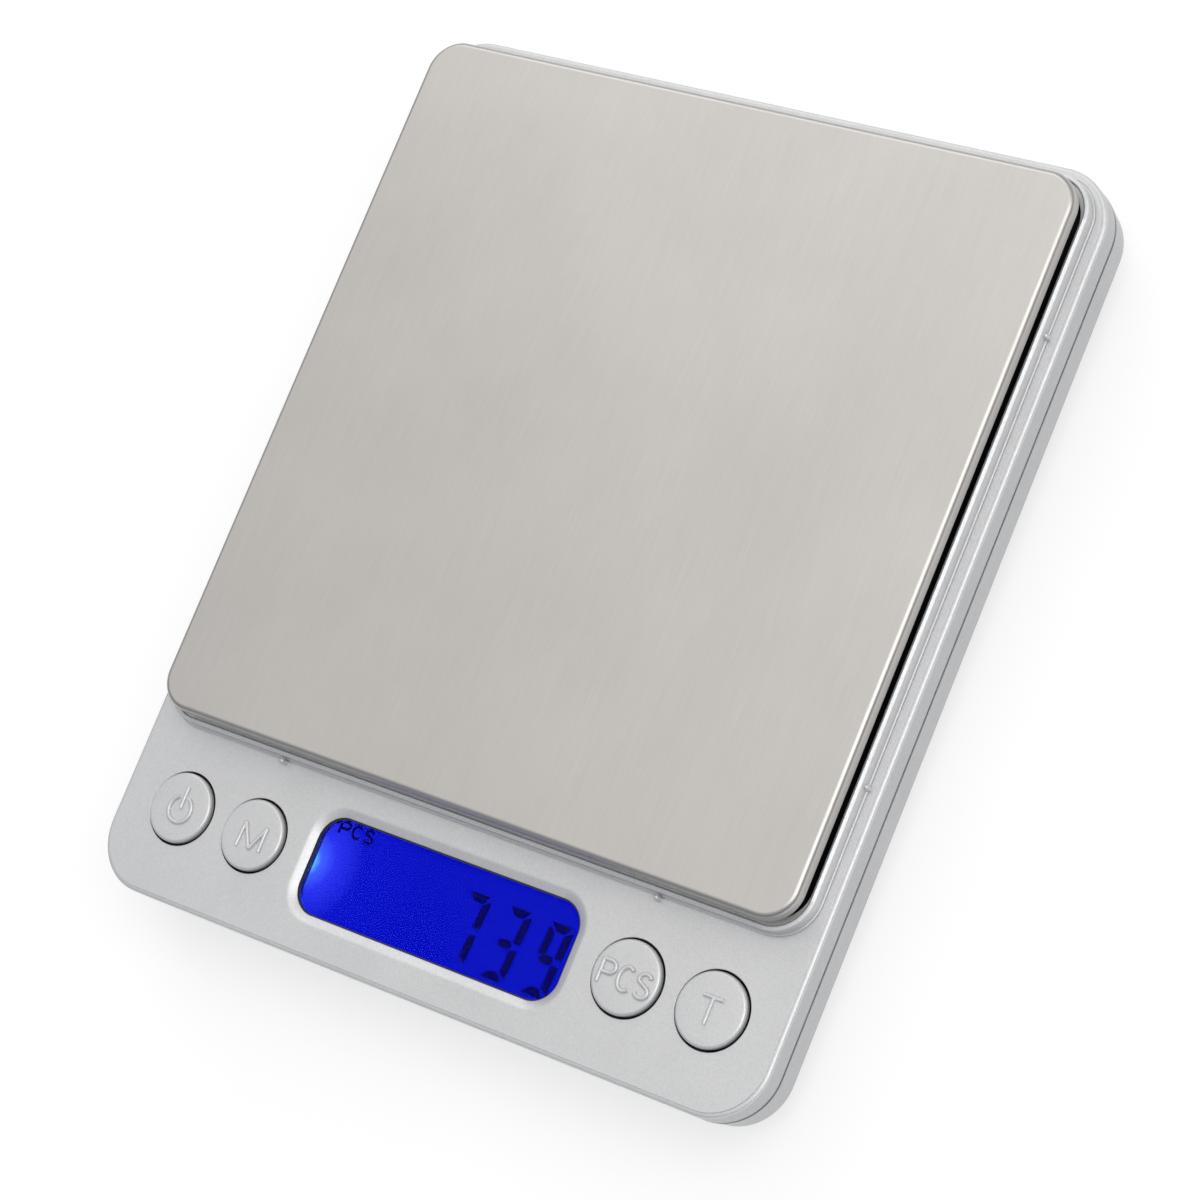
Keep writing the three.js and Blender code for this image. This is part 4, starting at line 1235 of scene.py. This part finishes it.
CARRIED_OVER = [
    (GREY_ABS, ["pan_carrier", *[f"{key}_plunger" for key in KEYS]]),
    (BLACK_ABS, ["converter_chip", *[f"{key}_switch" for key in KEYS]]),
    (FOAM, ["pan_tape_left", "pan_tape_right"]),
    (ALUMINIUM, ["fixed_end_spacer", "load_cell"]),
    (BRIGHT_SCREW, ["platform_screw_1", "platform_screw_2"]),
    (DARK_SCREW, ["board_screw_left", "board_screw_right"]),
    (SILICONE, ["gauge_seal_top", "gauge_seal_under", "display_connector_strip"]),
    (GUIDE, ["backlight_guide"]),
    (LAMP, ["backlight_led"]),
    (BOARD, ["circuit_board"]),
    (EPOXY, ["processor_dome"]),
    (NICKEL, ["contact_bridge", "contact_positive", "contact_negative"]),
    (INSULATION["red"], ["cell_lead_red", "battery_lead_red"]),
    (INSULATION["black"], ["cell_lead_black", "battery_lead_black"]),
    (INSULATION["green"], ["cell_lead_green"]),
    (INSULATION["white"], ["cell_lead_white"]),
]
EDGE_ROUND = 0.12


def finish_node(name, material):
    """Gives a CAD node its material and rounds its edges, or all of it if it is a lead."""
    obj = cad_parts[name]
    for material_slot in obj.material_slots:
        material_slot.material = material
    if "lead" in name:
        rounding = obj.modifiers.new("round", "SUBSURF")
        rounding.levels = rounding.render_levels = 2
    else:
        rounding = obj.modifiers.new("edge", "BEVEL")
        rounding.width = EDGE_ROUND * MM
        rounding.segments = 2
        rounding.angle_limit = math.radians(50)


for finish, nodes in CARRIED_OVER:
    for node in nodes:
        finish_node(node, finish)

# ---- Stage, light and camera

FLOOR_HALF = 2500
floor = slab("floor", 0, 0, FLOOR_HALF, FLOOR_HALF, (-4, 0))
moved(floor, Matrix.Scale(MM, 4))
floor.data.materials.append(floor_finish())


def studio_world():
    """An even studio, brighter overhead and behind the object than in front of it."""
    world = bpy.data.worlds.new("studio")
    world.use_nodes = True
    nodes, links = world.node_tree.nodes, world.node_tree.links
    lean = nodes.new("ShaderNodeVectorMath")
    lean.operation = "DOT_PRODUCT"
    lean.inputs[1].default_value = (0, 0.25, 0.75)
    links.new(nodes.new("ShaderNodeTexCoord").outputs["Generated"], lean.inputs[0])
    ramp = colour_ramp(nodes, [
        (0.0, (0.30, 0.32, 0.37)),
        (0.3, (0.41, 0.43, 0.46)),
        (0.58, (0.72, 0.72, 0.72)),
        (0.66, (0.93, 0.925, 0.915)),
        (0.75, (1.10, 1.09, 1.07)),
    ])
    links.new(lean.outputs["Value"], ramp.inputs["Fac"])
    links.new(ramp.outputs["Color"], nodes["Background"].inputs["Color"])
    nodes["Background"].inputs["Strength"].default_value = 1.0
    return world


bpy.context.scene.world = studio_world()


def soft_light(name, place, size, power):
    """A square lamp that faces the object."""
    data = bpy.data.lights.new(name, "AREA")
    data.size = size
    data.energy = power
    lamp = bpy.data.objects.new(name, data)
    lamp.location = place
    lamp.rotation_euler = (-Vector(place)).to_track_quat("-Z", "Y").to_euler()
    bpy.context.scene.collection.objects.link(lamp)


soft_light("key_light", (0.6, 0.12, 1.05), 1.0, 5.8)
soft_light("back_light", (-0.55, 0.75, 0.6), 0.7, 1.5)


def photo_camera():
    """The camera that CAMERA describes. Azimuth 0 is in front of the keys, 90 to their right."""
    azimuth, elevation = math.radians(CAMERA["azimuth"]), math.radians(CAMERA["elevation"])
    back = Vector((
        math.sin(azimuth) * math.cos(elevation),
        -math.cos(azimuth) * math.cos(elevation),
        math.sin(elevation),
    ))
    data = bpy.data.cameras.new("camera")
    data.lens = CAMERA["lens"]
    data.sensor_width = 36
    data.clip_start = 0.01
    camera = bpy.data.objects.new("camera", data)
    bpy.context.scene.collection.objects.link(camera)
    level = back.to_track_quat("Z", "Y").to_matrix().to_4x4()
    roll = Matrix.Rotation(-math.radians(CAMERA["roll"]), 4, "Z")
    place = (Vector(CAMERA["aim"]) + back * CAMERA["distance"]) * MM
    camera.matrix_world = Matrix.Translation(place) @ level @ roll
    return camera


bpy.context.scene.camera = photo_camera()
bpy.context.scene.view_settings.view_transform = "Standard"
bpy.context.view_layer.update()
